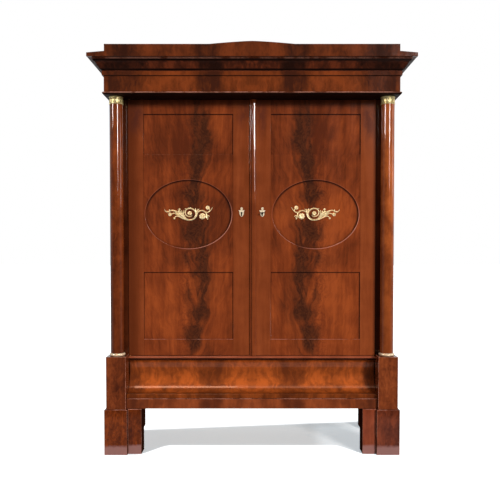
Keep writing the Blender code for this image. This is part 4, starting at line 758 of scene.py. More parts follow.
# The top board is painted in shadow all over; the upper front of its bead gets a painted highlight.
top_board = dress("cupboard_top", "board", copy_of("cupboard_top"), soffit_painted_shadow, sharp=40)
top_bead_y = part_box("cupboard_top")[0].y + BEAD_DEPTH
repaint(
    top_board,
    painted_edge_light,
    lambda face: face.center.y < top_bead_y and face.normal.z > 0.20 and face.normal.y < -0.2,
)
dress("frieze", "board", copy_of("frieze"), wood_frieze)
print("boards", len(made))

# %% [markdown]
# ## The doors
# Each door is a frame around two sunken rectangles and a sunken oval. The frame keeps the CAD copy with all
# its rebates and seats; every arris on its face is rounded by a millimetre, except round the keyhole, and
# the lower edges of the two lower openings carry a painted highlight. The three panels lie flat behind the
# openings.

# %% Door frames and panels
KEY_X, KEY_Z, KEY_CLEAR = 0.0575, 1.322, 0.03
ON_FACE = 0.00005
OVAL_TOP, LOWER_TOP, OPENING_HALF = 1.40, 1.0, 0.25


def on_face(face_y):
    """A test for spots on a door's face that keep clear of the keyhole."""
    def test(spot):
        near_key = abs(abs(spot.x) - KEY_X) < KEY_CLEAR and abs(spot.z - KEY_Z) < KEY_CLEAR
        return abs(spot.y - face_y) < ON_FACE and not near_key

    return test


def painted_highlight_edge(face):
    """A test for the rounded edges at the foot of the lower openings, which get a painted highlight."""
    spot, facing = face.center, face.normal
    if not (-0.98 < facing.y < -0.1 and facing.z > 0.12 and spot.z < OVAL_TOP):
        return False
    across = spot.x - math.copysign(PANEL_X, spot.x)
    return abs(across) < OPENING_HALF and (facing.x * across < -0.02 or spot.z < LOWER_TOP)


for word in SIDES:
    body = f"{word}_door"
    node = f"{word}_door_frame"
    shape = copy_of(node)
    soften(shape, crisp_edges(shape, on_face(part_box(node)[0].y)), 0.001, 2)
    # The lower edges of the openings get a painted highlight.
    repaint(dress(node, "wood", shape, wood_door, body), painted_edge_light, painted_highlight_edge)
    for form in ("upper", "oval", "lower"):
        node = f"{word}_{form}_panel"
        dress(node, "veneer", copy_of(node), wood_door, body)
print("doors", made[-8:])

# %% [markdown]
# ## Profiles: arcs and runs
# Mouldings, beads and turned work all start from one profile. An arc helper writes the round parts; a run
# helper extrudes a closed profile from one end to the other and closes its ends.

# %% Profile helpers
def arc(centre, radius, start, end, steps):
    """Points on an arc, angles in degrees, ends included. radius may be (across, up)."""
    wide, high = radius if isinstance(radius, tuple) else (radius, radius)
    points = []
    for i in range(steps + 1):
        angle = math.radians(start + (end - start) * i / steps)
        points.append((centre[0] + wide * math.cos(angle), centre[1] + high * math.sin(angle)))
    return points


def wire(shape, spots, closed=True):
    """Vertices joined by edges, the start of every run and every turning."""
    row = [shape.verts.new(spot) for spot in spots]
    pairs = list(zip(row, row[1:])) + ([(row[-1], row[0])] if closed else [])
    return row, [shape.edges.new(pair) for pair in pairs]


def pull(shape, edges, move):
    """Extrudes a row of edges and puts each new vertex where move says. Gives the new row."""
    grown = bmesh.ops.extrude_edge_only(shape, edges=edges)["geom"]
    for vert in grown:
        if isinstance(vert, bmesh.types.BMVert):
            vert.co = move(vert.co)
    return [edge for edge in grown if isinstance(edge, bmesh.types.BMEdge) and edge.is_boundary]


def run(spots, *moves):
    """A closed profile pulled through several moves, with its two ends closed."""
    shape = bmesh.new()
    row, edges = wire(shape, spots)
    for move in moves:
        edges = pull(shape, edges, move)
    bmesh.ops.holes_fill(shape, edges=shape.edges, sides=0)
    return shape


def mitred(profile, half_width, front, back):
    """A moulding on the front and both sides, mitred at the front corners."""
    return run(
        [(-half_width - out, back, up) for out, up in profile],
        lambda v: (v.x, front + half_width + v.x, v.z),
        lambda v: (-v.x, v.y, v.z),
        lambda v: (v.x, back, v.z),
    )


def lathe(profile, centre, steps, closed=False):
    """A turned piece: its profile of (radius, height) is spun round an upright axis."""
    shape = bmesh.new()
    row, edges = wire(shape, [(radius, 0, up) for radius, up in profile], closed)
    bmesh.ops.spin(
        shape, geom=row + edges, cent=(0, 0, 0), axis=(0, 0, 1), angle=math.tau, steps=steps, use_merge=True
    )
    bmesh.ops.remove_doubles(shape, verts=shape.verts, dist=0.000001)
    bmesh.ops.translate(shape, verts=shape.verts, vec=centre)
    return shape


def merge(shape, other):
    """Adds one bmesh to another."""
    bmesh.ops.recalc_face_normals(other, faces=other.faces)
    spare = bpy.data.meshes.new("spare")
    other.to_mesh(spare)
    other.free()
    shape.from_mesh(spare)
    bpy.data.meshes.remove(spare)


print("profile helpers ready")

# %% [markdown]
# ## The cornice
# The cornice climbs in a flat band, an ogee that swells and sweeps forward, a quirk and a fillet. It runs
# round the front and both sides, so one profile is pulled along them with mitres at the corners. The band
# is veneered like the frieze and the groove above it is dark; the level faces below the quirk, the ogee's
# foot and the quirk carry painted shadow, and the rounded foot of the fillet a painted highlight. On top lie
# a thin board and, in front of it, the attic board with square shoulders and a low pediment.

# %% Cornice, top and attic
low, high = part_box("cornice_moulding")
frieze_low, frieze_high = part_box("frieze")
inner, band, groove, fillet = -0.022, 0.009, 0.0072, 0.052
band_top, ogee_top = low.z + 0.0267, low.z + 0.0677
band_edge, groove_edge, ogee_foot = band_top - 0.0045, band_top - 0.0022, band_top + 0.0060
quirk = ogee_top + 0.006
fillet_low, fillet_high = quirk + 0.0030, quirk + 0.0080
profile = [(inner, low.z), (band - 0.0008, low.z), (band, low.z + 0.0008), (band, band_edge)]
profile += [(groove, groove_edge), (groove, band_top)]
for i in range(1, 33):
    share = i / 32
    profile.append((band + 0.037 * share, band_top + 0.041 * share * share * (3 - 2 * share)))
profile += [(0.046, quirk), (0.0504, quirk), (0.0510, quirk + 0.0008), (0.0510, fillet_low)]
profile += [(fillet, quirk + 0.0045), (fillet, fillet_high), (fillet, high.z), (inner, high.z)]
cornice = piece(
    "cornice_run",
    mitred(profile, frieze_high.x, frieze_low.y, frieze_high.y),
    wood_cornice,
    "carcase",
    ("cornice_moulding",),
    sharp=24,
)
# Painted shadow on the level faces below the quirk, the ogee's foot and the quirk; a painted highlight on the
# fillet's foot.
FRIEZE_INDEX, LINE_INDEX, SHADOW_INDEX, HIGHLIGHT_INDEX = 1, 2, 3, 4
for extra in (wood_frieze, wood_line, soffit_painted_shadow, painted_edge_light):
    cornice.data.materials.append(extra)
for polygon in cornice.data.polygons:
    up = polygon.center.z
    if abs(polygon.normal.y) + abs(polygon.normal.x) < 0.3 and up < quirk:
        polygon.material_index = SHADOW_INDEX
    elif up < band_edge:
        polygon.material_index = FRIEZE_INDEX
    elif up < groove_edge:
        polygon.material_index = LINE_INDEX
    elif fillet_low < up < fillet_high:
        polygon.material_index = HIGHLIGHT_INDEX
    elif up < ogee_foot or ogee_top - 0.0005 < up < fillet_low:
        polygon.material_index = SHADOW_INDEX
dress("cornice_top", "board", of_node("cornice_top", 0.002), wood_cornice)

low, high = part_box("attic_board")
shoulder_x, wing, end_z, notch_z, shoulder_z = 0.7765, 0.225, 2.1523, 2.1603, 2.1964
right_end = [(high.x, end_z), (shoulder_x, notch_z), (shoulder_x, shoulder_z)]
outline = [(-high.x, low.z), (high.x, low.z), *right_end]
for i in range(41):
    share = 1 - i / 20
    outline.append((share * wing, shoulder_z + (high.z - shoulder_z) * (1 - abs(share) ** 1.35)))
outline += [(-x, z) for x, z in reversed(right_end)]
shape = run([(x, low.y, z) for x, z in outline], lambda v: (v.x, high.y, v.z))
soften(shape, crisp_edges(shape, lambda v: abs(v.y - low.y) < 0.0001), 0.0012)
dress("attic_board", "sawn", shape, wood_attic)
print("cornice rises to", round(high.z, 4))

# %% [markdown]
# ## The hollow drawer front
# The plinth drawer has no handle: its face hollows back from a narrow lip and then sweeps forward to a
# square nose that the hand pulls. Two quarter ellipses make the hollow, and the profile is run along x. The
# lip's rounded edge carries painted shadow, and the front's veneer paints light and shade by height.

# %% Drawer front
PLINTH_Y = -0.2657
LIP_BACK, HOLLOW_BACK, NOSE_BACK = 0.106, 0.133, 0.042
NOSE_HEIGHT, NOSE_ROUND, LIP_ROUND = 0.020, 0.004, 0.0015
low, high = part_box("drawer_front")
lip, deep, nose = PLINTH_Y + LIP_BACK, PLINTH_Y + HOLLOW_BACK, PLINTH_Y + NOSE_BACK
deep_z, lip_z, nose_z = high.z - 0.066, high.z - 0.004, low.z + NOSE_HEIGHT
profile = [(high.y, high.z), (lip + LIP_ROUND, high.z), (lip, high.z - LIP_ROUND), (lip, lip_z)]
for i in range(1, 25):
    turn = math.pi * i / 48
    profile.append((lip + (deep - lip) * math.sin(turn), deep_z + (lip_z - deep_z) * math.cos(turn)))
for i in range(1, 33):
    turn = math.pi * i / 64
    out = nose + NOSE_ROUND + (deep - nose - NOSE_ROUND) * math.cos(turn)
    profile.append((out, deep_z - (deep_z - nose_z - NOSE_ROUND) * math.sin(turn)))
profile += arc((nose + NOSE_ROUND, nose_z), NOSE_ROUND, 90, 180, 6)[1:]
profile += [(nose, low.z + 0.001), (nose + 0.001, low.z), (high.y, low.z)]
shape = run([(low.x, y, z) for y, z in profile], lambda v: (high.x, v.y, v.z))
drawer = dress("drawer_front", "hollow", shape, wood_drawer, "drawer", sharp=24)
# The lip's top five millimetres get painted shadow.
repaint(
    drawer,
    painted_shade_wood,
    lambda face: face.center.z > high.z - 0.0050 and face.normal.z < 0.95 and face.normal.y < -0.3,
)
print("drawer front", round(high.x - low.x, 4), "wide")

# %% [markdown]
# ## Meeting bead
# A bead with a thin reed on its left covers the gap between the doors. Its crown leans a little to the
# right and is nearly flat there, so it mirrors a lamp as one broad light. It is planted on the right door's
# edge; the profile is pulled up from the bottom to the top. The crown is drawn in millimetres.

# %% Astragal
CROWN_WIDTH = 0.0279
CROWN = [
    (0.0, 0.0), (0.4, 2.6), (1.4, 5.2), (3.0, 7.3), (5.0, 8.5), (7.0, 9.0), (9.0, 8.95), (11.0, 8.65),
    (14.5, 7.95), (18.0, 7.2), (21.5, 6.42), (23.6, 5.5), (25.8, 3.9), (27.2, 1.7), (27.7, 0.0),
]
low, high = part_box("astragal")
step_y = high.y - 0.003
profile = [(high.x, high.y), (low.x, high.y), (low.x, step_y)]
profile += arc((low.x + 0.0036, step_y), (0.0035, 0.0042), 180, 360, 16)
profile += [(high.x - CROWN_WIDTH + across * 0.001, step_y - rise * 0.001) for across, rise in CROWN]
profile += [(high.x, step_y)]
shape = run([(x, y, low.z) for x, y in profile], lambda v: (v.x, v.y, high.z))
piece("meeting_bead", shape, wood_bead, "right_door", ("astragal",), sharp=24)
print("bead", round(high.z - low.z, 4), "high")

# %% [markdown]
# ## Columns
# The columns are turned from one length each and swell very slightly in the middle, then stand in
# brass sleeves top and bottom. A profile from the top to the foot is spun round the upright axis.

# %% Columns
SHOULDER_Z, FOOT_Z, RADIUS, NECK, ROUND = 1.9085, 0.5515, 0.0367, 0.030, 0.0016


def middle_of(low, high):
    return Vector(((low.x + high.x) / 2, (low.y + high.y) / 2, 0))


for word in SIDES:
    low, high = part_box(f"column_{word}")
    profile = [(0, high.z), (NECK - 0.001, high.z), (NECK, high.z - 0.001), (NECK, SHOULDER_Z)]
    profile += [(RADIUS - ROUND, SHOULDER_Z)] + arc((RADIUS - ROUND, SHOULDER_Z - ROUND), ROUND, 80, 0, 4)
    for i in range(1, 24):
        share = i / 24
        up = SHOULDER_Z - ROUND + (FOOT_Z - SHOULDER_Z + 2 * ROUND) * share
        profile.append((RADIUS - 0.0004 * abs(2 * share - 1), up))
    profile += arc((RADIUS - ROUND, FOOT_Z + ROUND), ROUND, 0, -80, 4) + [(RADIUS - ROUND, FOOT_Z)]
    profile += [(NECK, FOOT_Z), (NECK, low.z + 0.001), (NECK - 0.001, low.z), (0, low.z)]
    shape = lathe(profile, middle_of(low, high), 128)
    dress(f"column_{word}", "turned", shape, wood_column[word], sharp=24)
print("columns", made[-2:])

# %% [markdown]
# ## Brass capitals and base rings
# The capital is a sheet brass sleeve: a flared rim, a band of tongues between two rows of pearls, and a
# beaded edge. The sleeve is spun; one tongue and one pearl are shaped from a sphere and set round it.

# %% Capitals and rings
INSIDE, BAND, RIM = 0.0303, 0.0356, 0.0394
TONGUES, EDGE_PEARLS = 14, 72


def pearls(shape, centre, radius, height, size, count, squash, turn=0.0):
    """A ring of small rounded bosses, each a squashed sphere."""
    for i in range(count):
        angle = math.tau * (i + turn) / count
        place = Matrix.Translation((centre.x, centre.y, height)) @ Matrix.Rotation(angle, 4, "Z")
        place = place @ Matrix.Translation((radius, 0, 0)) @ Matrix.Diagonal((*squash, 1.0))
        bmesh.ops.create_icosphere(shape, subdivisions=2, radius=size, matrix=place)


for word in SIDES:
    low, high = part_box(f"capital_{word}")
    centre = middle_of(low, high)
    top, bottom = high.z, low.z + 0.0065
    profile = [(INSIDE, top), (RIM - 0.0016, top)] + arc((RIM - 0.0016, top - 0.0016), 0.0016, 80, -80, 8)
    profile += arc((RIM - 0.0008, top - 0.0092), (0.0030, 0.0058), 95, 180, 10)
    profile += arc((BAND + 0.0006, top - 0.0118), 0.0014, 80, -80, 6)
    profile += [(BAND, top - 0.0135), (BAND - 0.0004, (top + bottom) / 2), (BAND, bottom + 0.0052)]
    profile += arc((BAND + 0.0004, bottom + 0.0022), 0.0021, 80, -80, 8) + [(INSIDE, bottom)]
    shape = lathe(profile, centre, 128, True)
    pearls(shape, centre, BAND + 0.0008, (top + bottom) / 2 - 0.003, 0.0060, TONGUES, (0.26, 0.80, 1.70))
    for height in (top - 0.0165, bottom + 0.0080):
        pearls(shape, centre, BAND + 0.0008, height, 0.0026, TONGUES, (0.5, 1, 1), 0.5)
    pearls(shape, centre, BAND + 0.0018, bottom + 0.0022, 0.0013, EDGE_PEARLS, (1, 1.1, 1.2))
    dress(f"capital_{word}", "cast", shape, brass_sleeve, sharp=40)
    low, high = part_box(f"column_base_{word}")
    tube = (high.z - low.z) / 2
    profile = [(INSIDE, low.z), (INSIDE, high.z), (0.0325, high.z)]
    profile += arc((0.0425 - tube, low.z + tube), tube, 88, -88, 20)
    dress(f"column_base_{word}", "ring", lathe(profile, centre, 128, True), brass_ring, sharp=40)
print("sleeves", made[-4:])

# %% [markdown]
# ## Keyhole shields
# Each keyhole wears a bone shield: a pointed base, flaring shoulders and a ball on top. Its outline is pulled
# forward and the face is inset and raised a little, so that it is cushioned. A plate of painted shadow on it
# shows the keyhole's opening. The outline lists shares of the shield's half width and height, from the point
# upwards.

# %% Shields
HALF_SHIELD = [
    (0.0, 0.0), (0.10, 0.012), (0.26, 0.055), (0.42, 0.115), (0.54, 0.19), (0.64, 0.28), (0.69, 0.38),
    (0.71, 0.50), (0.715, 0.62), (0.76, 0.72), (0.86, 0.80), (0.99, 0.865), (0.97, 0.895), (0.86, 0.925),
    (0.72, 0.915), (0.58, 0.90), (0.44, 0.915), (0.35, 0.96),
]
SHIELD_HALF_WIDTH, SHIELD_HEIGHT, BALL_UP = 0.0168, 0.0391, 0.0458
HOLE_RADIUS, SLOT_HALF, SLOT_DROP = 0.0054, 0.0033, -0.0165
# The face is inset in steps: a share of the way to the middle, and a depth behind the foremost plane.
FACE_STEPS = ((0.03, 0.0001), (0.10, 0.0001), (0.03, 0.0008))
FACE_EDGE, PLATE_DEPTH = 0.0008, 0.0008


def shield(centre_x, base_z, front_y, back_y):
    """A cushioned shield with a rim, and the ball above it."""
    half = [(share * SHIELD_HALF_WIDTH, base_z + up * SHIELD_HEIGHT) for share, up in HALF_SHIELD]
    half += arc((0, base_z + BALL_UP), 0.0067, -58, 90, 12)
    outline = half + [(-x, z) for x, z in reversed(half[1:-1])]
    shape = bmesh.new()
    row, edges = wire(shape, [(centre_x + x, back_y, z) for x, z in outline])
    middle_z = base_z + 0.0224

    def towards(share, y):
        return lambda v: (v.x + (centre_x - v.x) * share, y, v.z + (middle_z - v.z) * share)

    edges = pull(shape, edges, lambda v: (v.x, front_y + FACE_EDGE, v.z))
    for share, sunk in FACE_STEPS:
        edges = pull(shape, edges, towards(share, front_y + sunk))
    bmesh.ops.holes_fill(shape, edges=shape.edges, sides=0)
    place = Matrix.Translation((centre_x, front_y + 0.0016, base_z + BALL_UP))
    place = place @ Matrix.Diagonal((1, 0.3, 1, 1))
    bmesh.ops.create_uvsphere(shape, u_segments=24, v_segments=12, radius=0.0047, matrix=place)
    return shape


def keyhole(centre_x, y):
    """A plate of painted shadow that shows the keyhole's opening: a round eye over a slot."""
    points = arc((0, 0), HOLE_RADIUS, -60, 240, 24) + [(-SLOT_HALF, SLOT_DROP), (SLOT_HALF, SLOT_DROP)]
    return run([(centre_x + x, y, KEY_Z + z) for x, z in points], lambda v: (v.x, y + PLATE_DEPTH, v.z))


for word in SIDES:
    node = f"{word}_key_shield"
    low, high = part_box(node)
    centre_x = (low.x + high.x) / 2
    body = f"{word}_door"
    dress(node, "bone", shield(centre_x, low.z + 0.0056, low.y, high.y), bone_cream, body, sharp=30)
    # The plate paints the shadow inside the keyhole.
    piece(f"{word}_keyhole_eye", keyhole(centre_x, low.y + 0.0002), keyhole_shadow, body, (), 30)
print("shields", made[-4:])

# %% [markdown]
# ## The key
# The iron key stands in the right door's lock: a shank with a collar, a bit inside the lock, and an oval bow
# that lies level, so the front shows it edge on. The bow is a ring spun from a small circle and then
# squashed; the shank and the collar are turned; the bit is a filed block.

# %% Key
BOW_RADIUS, BOW_WIRE, BOW_DEPTH = 0.0114, 0.0023, 0.0122
STEM_LENGTH = 0.0452
KEY_STEM = [
    (0, 0), (0.0030, 0), (0.0030, 0.003), (0.0026, 0.0042), (0.0026, 0.0085), (0.0040, 0.0092),
    (0.0044, 0.0105), (0.0040, 0.0118), (0.0028, 0.0125), (0.0028, 0.0445), (0.0022, STEM_LENGTH),
    (0, STEM_LENGTH),
]
low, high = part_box("key")
shape = lathe(arc((BOW_RADIUS, 0), BOW_WIRE, 0, 330, 11), (0, 0, 0), 48, True)
bmesh.ops.scale(shape, verts=shape.verts, vec=(1, BOW_DEPTH / (BOW_RADIUS + BOW_WIRE), 1))
bmesh.ops.translate(shape, verts=shape.verts, vec=(KEY_X, low.y + BOW_DEPTH, KEY_Z))
spun = lathe(KEY_STEM, (0, 0, 0), 24)
bmesh.ops.rotate(spun, verts=spun.verts, cent=(0, 0, 0), matrix=Matrix.Rotation(-math.pi / 2, 3, "X"))
start_y = low.y + 2 * BOW_DEPTH - 0.0025
bmesh.ops.scale(spun, verts=spun.verts, vec=(1, (high.y - start_y) / STEM_LENGTH, 1))
bmesh.ops.translate(spun, verts=spun.verts, vec=(KEY_X, start_y, KEY_Z))
merge(shape, spun)
bit = Matrix.Translation((KEY_X + 0.006, -0.1367, KEY_Z)) @ Matrix.Diagonal((0.009, 0.008, 0.0026, 1))
bmesh.ops.create_cube(shape, size=1.0, matrix=bit)
dress("key", "forged", shape, iron_dark, "key", sharp=40)
print("key", [round(v, 4) for v in (*low, *high)])

# %% [markdown]
# ## Scroll mounts: strokes of cast leaf
# Each oval carries a cast acanthus scroll. A stroke is modelled straight first: a closed section, ridged like
# a leaf or rounded like a stem, is pulled along a unit strip. Then every vertex is bent onto a smooth path,
# swelling and tapering with it. The strip keeps its vein lines, so the leaves read as leaves.

# %% Strokes
MOUNT_WIDTH, MOUNT_HEIGHT = 0.271, 0.086
MOUNT_Z, SEAT_Y = 1.3235, -0.1537
STEM = [(-1, 0), (-0.94, 0.35), (-0.72, 0.70), (-0.38, 0.94), (0, 1)]
STEM += [(-across, up) for across, up in reversed(STEM[:-1])]
LEAF = [(-1, 0), (-1, 0.4), (-0.84, 0.62), (-0.62, 0.56), (-0.46, 0.42), (-0.3, 0.6), (-0.16, 0.92), (0, 1)]
LEAF += [(-across, up) for across, up in reversed(LEAF[:-1])]


def smooth_path(points, steps):
    """Catmull-Rom through (across, up, half width), given in thousandths of the mount's size."""
    points = [[value / 1000 for value in point] for point in points]
    ends = [points[0]] + points + [points[-1]]
    path = []
    for first, start, end, last in zip(ends, ends[1:], ends[2:], ends[3:]):
        for i in range(steps):
            t = i / steps
            spot = []
            for a, b, c, d in zip(first, start, end, last):
                square, cube = 2 * a - 5 * b + 4 * c - d, 3 * b - a - 3 * c + d
                spot.append(0.5 * (2 * b + (c - a) * t + square * t * t + cube * t * t * t))
            path.append(spot)
    return path + [points[-1]]


def on_mount(across, up):
    """A place on the mount in metres: out from the middle of the front, and up."""
    return PANEL_X - across * MOUNT_WIDTH, MOUNT_Z + up * MOUNT_HEIGHT


def stroke(shape, side, section, points, height, steps=8):
    """One bent and tapered band of the mount, lying on the panel."""
    path = [(*on_mount(across, up), half * MOUNT_HEIGHT) for across, up, half in smooth_path(points, steps)]
    strip = bmesh.new()
    row, edges = wire(strip, [(s, f, 0) for s, f in section])
    for i in range(1, len(path)):
        edges = pull(strip, edges, lambda v: (v.x, v.y, i))
    bmesh.ops.holes_fill(strip, edges=strip.edges, sides=0)
    widest = max(half for x, z, half in path)
    for vert in strip.verts:
        i = round(vert.co.z)
        x, z, half = path[i]
        ahead, behind = path[min(i + 1, len(path) - 1)], path[max(i - 1, 0)]
        along = Vector((ahead[0] - behind[0], ahead[1] - behind[1])).normalized()
        swell = 0.35 + 0.65 * min(1.0, max(half, 0.0002) / widest) ** 0.7
        out = side * (x - along.y * vert.co.x * half)
        vert.co = (out, SEAT_Y - vert.co.y * height * swell, z + along.x * vert.co.x * half)
    merge(shape, strip)


def ball(shape, side, across, up, radius, height, middle=0.0):
    """A berry or the heart of a flower, a sphere flattened towards the panel."""
    x, z = on_mount(across, up)
    place = Matrix.Translation((side * x, SEAT_Y - middle, z)) @ Matrix.Diagonal((radius, height, radius, 1))
    bmesh.ops.create_uvsphere(shape, u_segments=20, v_segments=12, radius=1.0, matrix=place)


PETAL_OUT, PETAL_LENGTH, PETAL_WIDTH = 0.62, 0.40, 0.33


def flower(shape, side, across, up, radius, petals, turn):
    """Petals set round a heart, each a flattened sphere raised at its tip."""
    x, z = on_mount(across, up)
    ball(shape, side, across, up, radius * 0.96, 0.0030)
    for i in range(petals):
        angle = turn + math.tau * i / petals
        place = Matrix.Translation((side * x, SEAT_Y - 0.0032, z)) @ Matrix.Rotation(angle, 4, "Y")
        place = place @ Matrix.Translation((radius * PETAL_OUT, 0, 0))
        place = place @ Matrix.Diagonal((radius * PETAL_LENGTH, 0.0024, radius * PETAL_WIDTH, 1))
        bmesh.ops.create_icosphere(shape, subdivisions=3, radius=1.0, matrix=place)
    ball(shape, side, across, up, radius * 0.34, 0.0026, 0.0042)


print("stroke helpers ready")

# %% [markdown]
# ## Scroll mounts: the acanthus scroll
# Read from the hinge side: a thin wavy stem with a hooked tip and a berry, an acanthus body with a ball on
# its calyx, a great smooth scroll that runs along the bottom and rises into a pointed leaf, a ring that curls
# inwards from it round a flower, then a second arch with a large flower, a tendril and a bud. The right door
# mirrors the left. Every point of a stroke is its place across and up and its half width, in thousandths.

# %% Mounts
STEMS = (
    (
        (-490, 230, 10), (-482, 140, 24), (-450, 70, 34), (-400, 95, 36), (-348, 160, 38),
        (-290, 125, 45), (-235, 40, 60),
    ),
    ((-240, -20, 34), (-295, -30, 32), (-345, -70, 30)),
    ((-60, -435, 26), (-130, -350, 34), (-195, -245, 36), (-250, -215, 34), (-286, -310, 30)),
    ((-215, 0, 60), (-193, 100, 44), (-187, 170, 36)),
    (
        (155, -110, 30), (133, 100, 40), (80, 250, 44), (10, 285, 44), (-46, 200, 42), (-68, 40, 40),
        (-56, -120, 36), (-14, -222, 30), (38, -240, 26), (76, -170, 16),
    ),
    ((178, 20, 50), (228, 120, 40), (285, 145, 38), (336, 70, 38), (364, -60, 38), (374, -200, 40)),
    ((345, 45, 36), (378, 20, 38), (412, 55, 34), (450, 155, 30), (474, 250, 22), (494, 365, 10)),
    ((425, 90, 30), (438, 170, 30), (424, 250, 26)),
)
LEAVES = (
    (
        (-262, 10, 20), (-212, -55, 105), (-165, -120, 160), (-122, -225, 140), (-82, -345, 85),
        (-34, -425, 52), (28, -455, 46), (88, -415, 46), (134, -305, 54), (161, -150, 62), (172, 10, 62),
        (176, 150, 46), (186, 262, 10),
    ),
    ((362, -100, 34), (380, -240, 60), (392, -360, 46), (398, -440, 10)),
    ((-165, -80, 40), (-215, -105, 60), (-275, -85, 10)),
    ((-180, -60, 45), (-155, 60, 60), (-135, 165, 10)),
    ((-205, -20, 45), (-228, 60, 50), (-240, 140, 10)),
    ((-120, -100, 40), (-105, 40, 52), (-98, 190, 10)),
)
LOBES = (
    ((150, 125, 28), (140, 215, 32), (146, 290, 8)),
    ((178, 160, 28), (204, 205, 30), (222, 270, 8)),
    ((28, 275, 24), (36, 320, 24), (46, 365, 6)),
    ((-30, 235, 24), (-62, 275, 24), (-80, 250, 6)),
    ((-430, 80, 20), (-420, 30, 20), (-424, -20, 6)),
    ((-395, 100, 20), (-390, 180, 22), (-400, 240, 6)),
    ((372, -200, 26), (352, -260, 26), (346, -330, 6)),
    ((390, -160, 26), (418, -200, 26), (428, -265, 6)),
)
FLOWERS = (
    (0.026, -0.032, 0.0122, 6, 0.3), (0.284, -0.225, 0.0172, 8, 0.1), (0.394, 0.330, 0.0114, 5, 0.6),
    (-0.381, -0.105, 0.0102, 5, 0.9),
)
BERRIES = ((-0.292, -0.355, 0.0060, 0.0062), (-0.187, 0.220, 0.0064, 0.0066))
LEAF_RISE, STEM_RISE, LOBE_RISE = 0.0040, 0.0036, 0.0026

for word, side in (("left", -1), ("right", 1)):
    shape = bmesh.new()
    for points in LEAVES:
        stroke(shape, side, LEAF, points, LEAF_RISE)
    for points in STEMS:
        stroke(shape, side, STEM, points, STEM_RISE)
    for points in LOBES:
        stroke(shape, side, STEM, points, LOBE_RISE, steps=6)
    for values in FLOWERS:
        flower(shape, side, *values)
    for values in BERRIES:
        ball(shape, side, *values)
    dress(f"{word}_scroll_mount", "cast", shape, brass_pale, f"{word}_door", sharp=46)
print("mounts", made[-2:])

# %% [markdown]
# ## Fittings that keep their CAD shape
# The pivots, the lock case and the three bolts are plain metal and hidden when the doors are shut. Their CAD
# shape is right as it is, so each only gets its finish.

# %% Pivots, lock and bolts
PIVOTS = [f"{word}_{end}_pivot" for word in SIDES for end in ("bottom", "top")]
IRONWORK = ["lock_case", "lock_bolt", "top_bolt", "bottom_bolt"]
for names, metal in ((PIVOTS, brass_plain), (IRONWORK, iron_dark)):
    for node in names:
        nodes[node].data.materials[0] = metal
print("CAD pieces with a new finish", len(PIVOTS + IRONWORK))

# %% [markdown]
# ## Floor
# A wide white floor carries the cupboard; its front edge lies just outside the picture, so that the doors
# don't mirror it. It takes shade from the lamps, and a glow that only the camera and the polish see lifts the
# lit floor to white, less under the cupboard than around it, so the glow paints the outline of the cupboard's
# shadow; an extra patch of glow paints light into the shadow beside the right foot. Floor and background meet
# unseen. Each pair of distances tells where the painted shadow under the cupboard ends and the clear floor
# starts.

# %% Floor
CLEAR_SIDE, CLEAR_BEHIND, CLEAR_BEFORE = (0.74, 0.82), (0.29, 0.35), (-0.075, -0.110)
UNDER_LIGHT, CLEAR_LIGHT = 0.30, 0.86
FLOOR_HALF, FLOOR_FRONT = 20.0, -1.05
g = new_material("studio_floor")
camera_ray, glossy_ray = g.outputs("ShaderNodeLightPath", "Is Camera Ray", "Is Glossy Ray")
seen = g.maths("MAXIMUM", camera_ray, glossy_ray * 0.05)
mottle = g.noise(g.place, 3, 2)
paint = g.mix(mottle, (0.80, 0.81, 0.83, 1), (0.84, 0.85, 0.87, 1))
g.surface(paint, g.step(mottle, 0, 1, 0.8, 0.9), Specular_IOR_Level=0.1)
x, y, z = g.parts(g.place)
# These masks mark the clear floor; together they paint the outline of the cupboard's shadow.
beside = g.step(abs(x), *CLEAR_SIDE)
behind = g.step(y - x * 0.14, *CLEAR_BEHIND)
before = g.step(y + g.step(abs(x), 0.46, 0.64, 0.0, 0.17), *CLEAR_BEFORE)
clear = g.maths("MAXIMUM", g.maths("MAXIMUM", beside, behind), before)
# Painted light: extra glow lightens the shadow beside the right foot.
painted_light_by_foot = g.step(x, 0.34, 0.44, 0.0, 0.19) * g.step(y, 0.24, 0.36, 1.0, 0.3)
glow = g.mix(clear, (0.83, 0.935, 1, 1), (0.97, 0.99, 1, 1))
g.feed(g.shader.inputs["Emission Color"], glow)
g.feed(g.shader.inputs["Emission Strength"], seen * ((painted_light_by_foot + UNDER_LIGHT) + clear * CLEAR_LIGHT))
shape = bmesh.new()
bmesh.ops.create_grid(shape, x_segments=2, y_segments=2, size=FLOOR_HALF)
bmesh.ops.translate(shape, verts=shape.verts, vec=(0, FLOOR_HALF + FLOOR_FRONT, 0))
mesh = bpy.data.meshes.new("floor")
shape.to_mesh(mesh)
shape.free()
mesh.materials.append(g.owner)
floor = bpy.data.objects.new("floor", mesh)
scene.collection.objects.link(floor)
floor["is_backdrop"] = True
print("floor laid")

# %% [markdown]
# ## Studio light
# A pale surround fills every shadow, and one broad soft lamp stands to the right of the camera, above the
# eye. The other lamps light nothing and are only mirrored by the polish: two far strips and a low one draw
# the upright lights on the columns and the bead, one far out at the right edges the round pieces, and two
# boxes above the front draw the light in the drawer's hollow. The polish must not turn milky, so the
# surround behind the camera is dim as the gloss sees it.

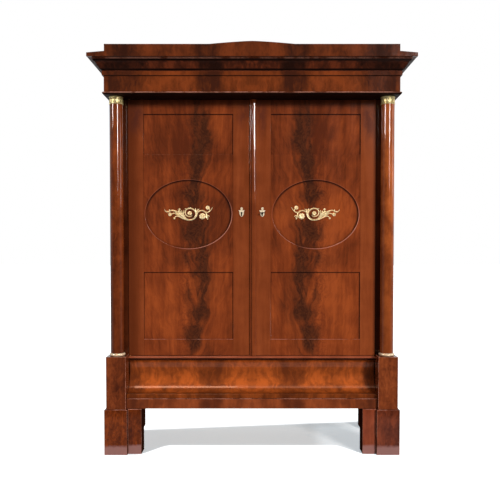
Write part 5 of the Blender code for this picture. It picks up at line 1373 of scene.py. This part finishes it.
# %% World and lamps
FILL, DIM, BRIGHT = 0.38, 0.04, 0.8
DIM_UNTIL, BRIGHT_FROM = -0.70, 0.45
world = bpy.data.worlds.new("studio")
scene.world = world
g = Graph(world)
g.shader.inputs["Color"].default_value = (1, 1, 1, 1)
camera_ray, clear_ray, glossy_ray = g.outputs(
    "ShaderNodeLightPath", "Is Camera Ray", "Is Transmission Ray", "Is Glossy Ray"
)
direction = g.outputs("ShaderNodeTexCoord", "Generated")[0]
slope = g.step(g.parts(direction)[1], DIM_UNTIL, BRIGHT_FROM, DIM, BRIGHT, "LINEAR")
clear = g.maths("MAXIMUM", camera_ray, clear_ray)
plain = (1.0 - g.maths("MAXIMUM", clear, glossy_ray)) * FILL
g.feed(g.shader.inputs["Strength"], g.maths("MAXIMUM", clear, glossy_ray * slope) + plain)


def lamp(name, kind, place, aim, power, colour, lights, mirrored, **settings):
    """A lamp at a place that looks at a point. It may light the wood, be mirrored in the polish, or both."""
    data = bpy.data.lights.new(name, kind)
    data.energy = power
    data.color = colour
    for key, value in settings.items():
        setattr(data, key, value)
    obj = bpy.data.objects.new(name, data)
    obj.location = place
    obj.rotation_euler = (Vector(aim) - Vector(place)).to_track_quat("-Z", "Y").to_euler()
    obj.visible_diffuse = lights
    obj.visible_glossy = mirrored
    scene.collection.objects.link(obj)


def strip(name, place, aim, width, height, radiance, colour=(1.0, 0.84, 0.80)):
    """A rectangular lamp that only the polish mirrors, seen at a given radiance."""
    power = radiance * math.pi * width * height
    lamp(name, "AREA", place, aim, power, colour, False, True, shape="RECTANGLE", size=width, size_y=height)


COLUMNS = (0, -0.2, 1.8)
SUN_SPREAD = math.radians(14)
lamp("key", "SUN", (1.85, -3.6, 2.4), (0, 0, 1.1), 2.55, (1.0, 0.97, 0.93), True, False, angle=SUN_SPREAD)
strip("strip_left", (-6.39, -4.95, 4.15), COLUMNS, 1.0, 1.8, 75.0, (0.98, 0.89, 0.87))
strip("strip_right", (3.75, -7.20, 3.75), COLUMNS, 1.0, 1.7, 67.0, (0.96, 0.93, 0.92))
strip("strip_right_low", (3.75, -7.20, 2.55), COLUMNS, 0.4, 0.7, 40.0)
strip("side_light", (5.90, -0.80, 3.00), (-0.7, -0.2, 1.8), 0.6, 2.4, 10.0)
strip("drawer_light", (-0.72, -1.05, 3.4), (-0.72, -0.3, 0.45), 1.15, 0.75, 11.0, (1.0, 0.54, 0.34))
strip("drawer_light_right", (0.62, -1.05, 3.4), (0.62, -0.3, 0.45), 1.4, 0.75, 2.4, (1.0, 0.56, 0.36))
print("lamps", len(bpy.data.lights))

# %% [markdown]
# ## Sizes
# The dressed cupboard's size is printed, with its count of pieces and faces.

# %% Sizes and finish
low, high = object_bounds()
print("pieces", len(made), "faces", sum(count for name, count in made))
print("size", [round(b - a, 4) for a, b in zip(low, high)])
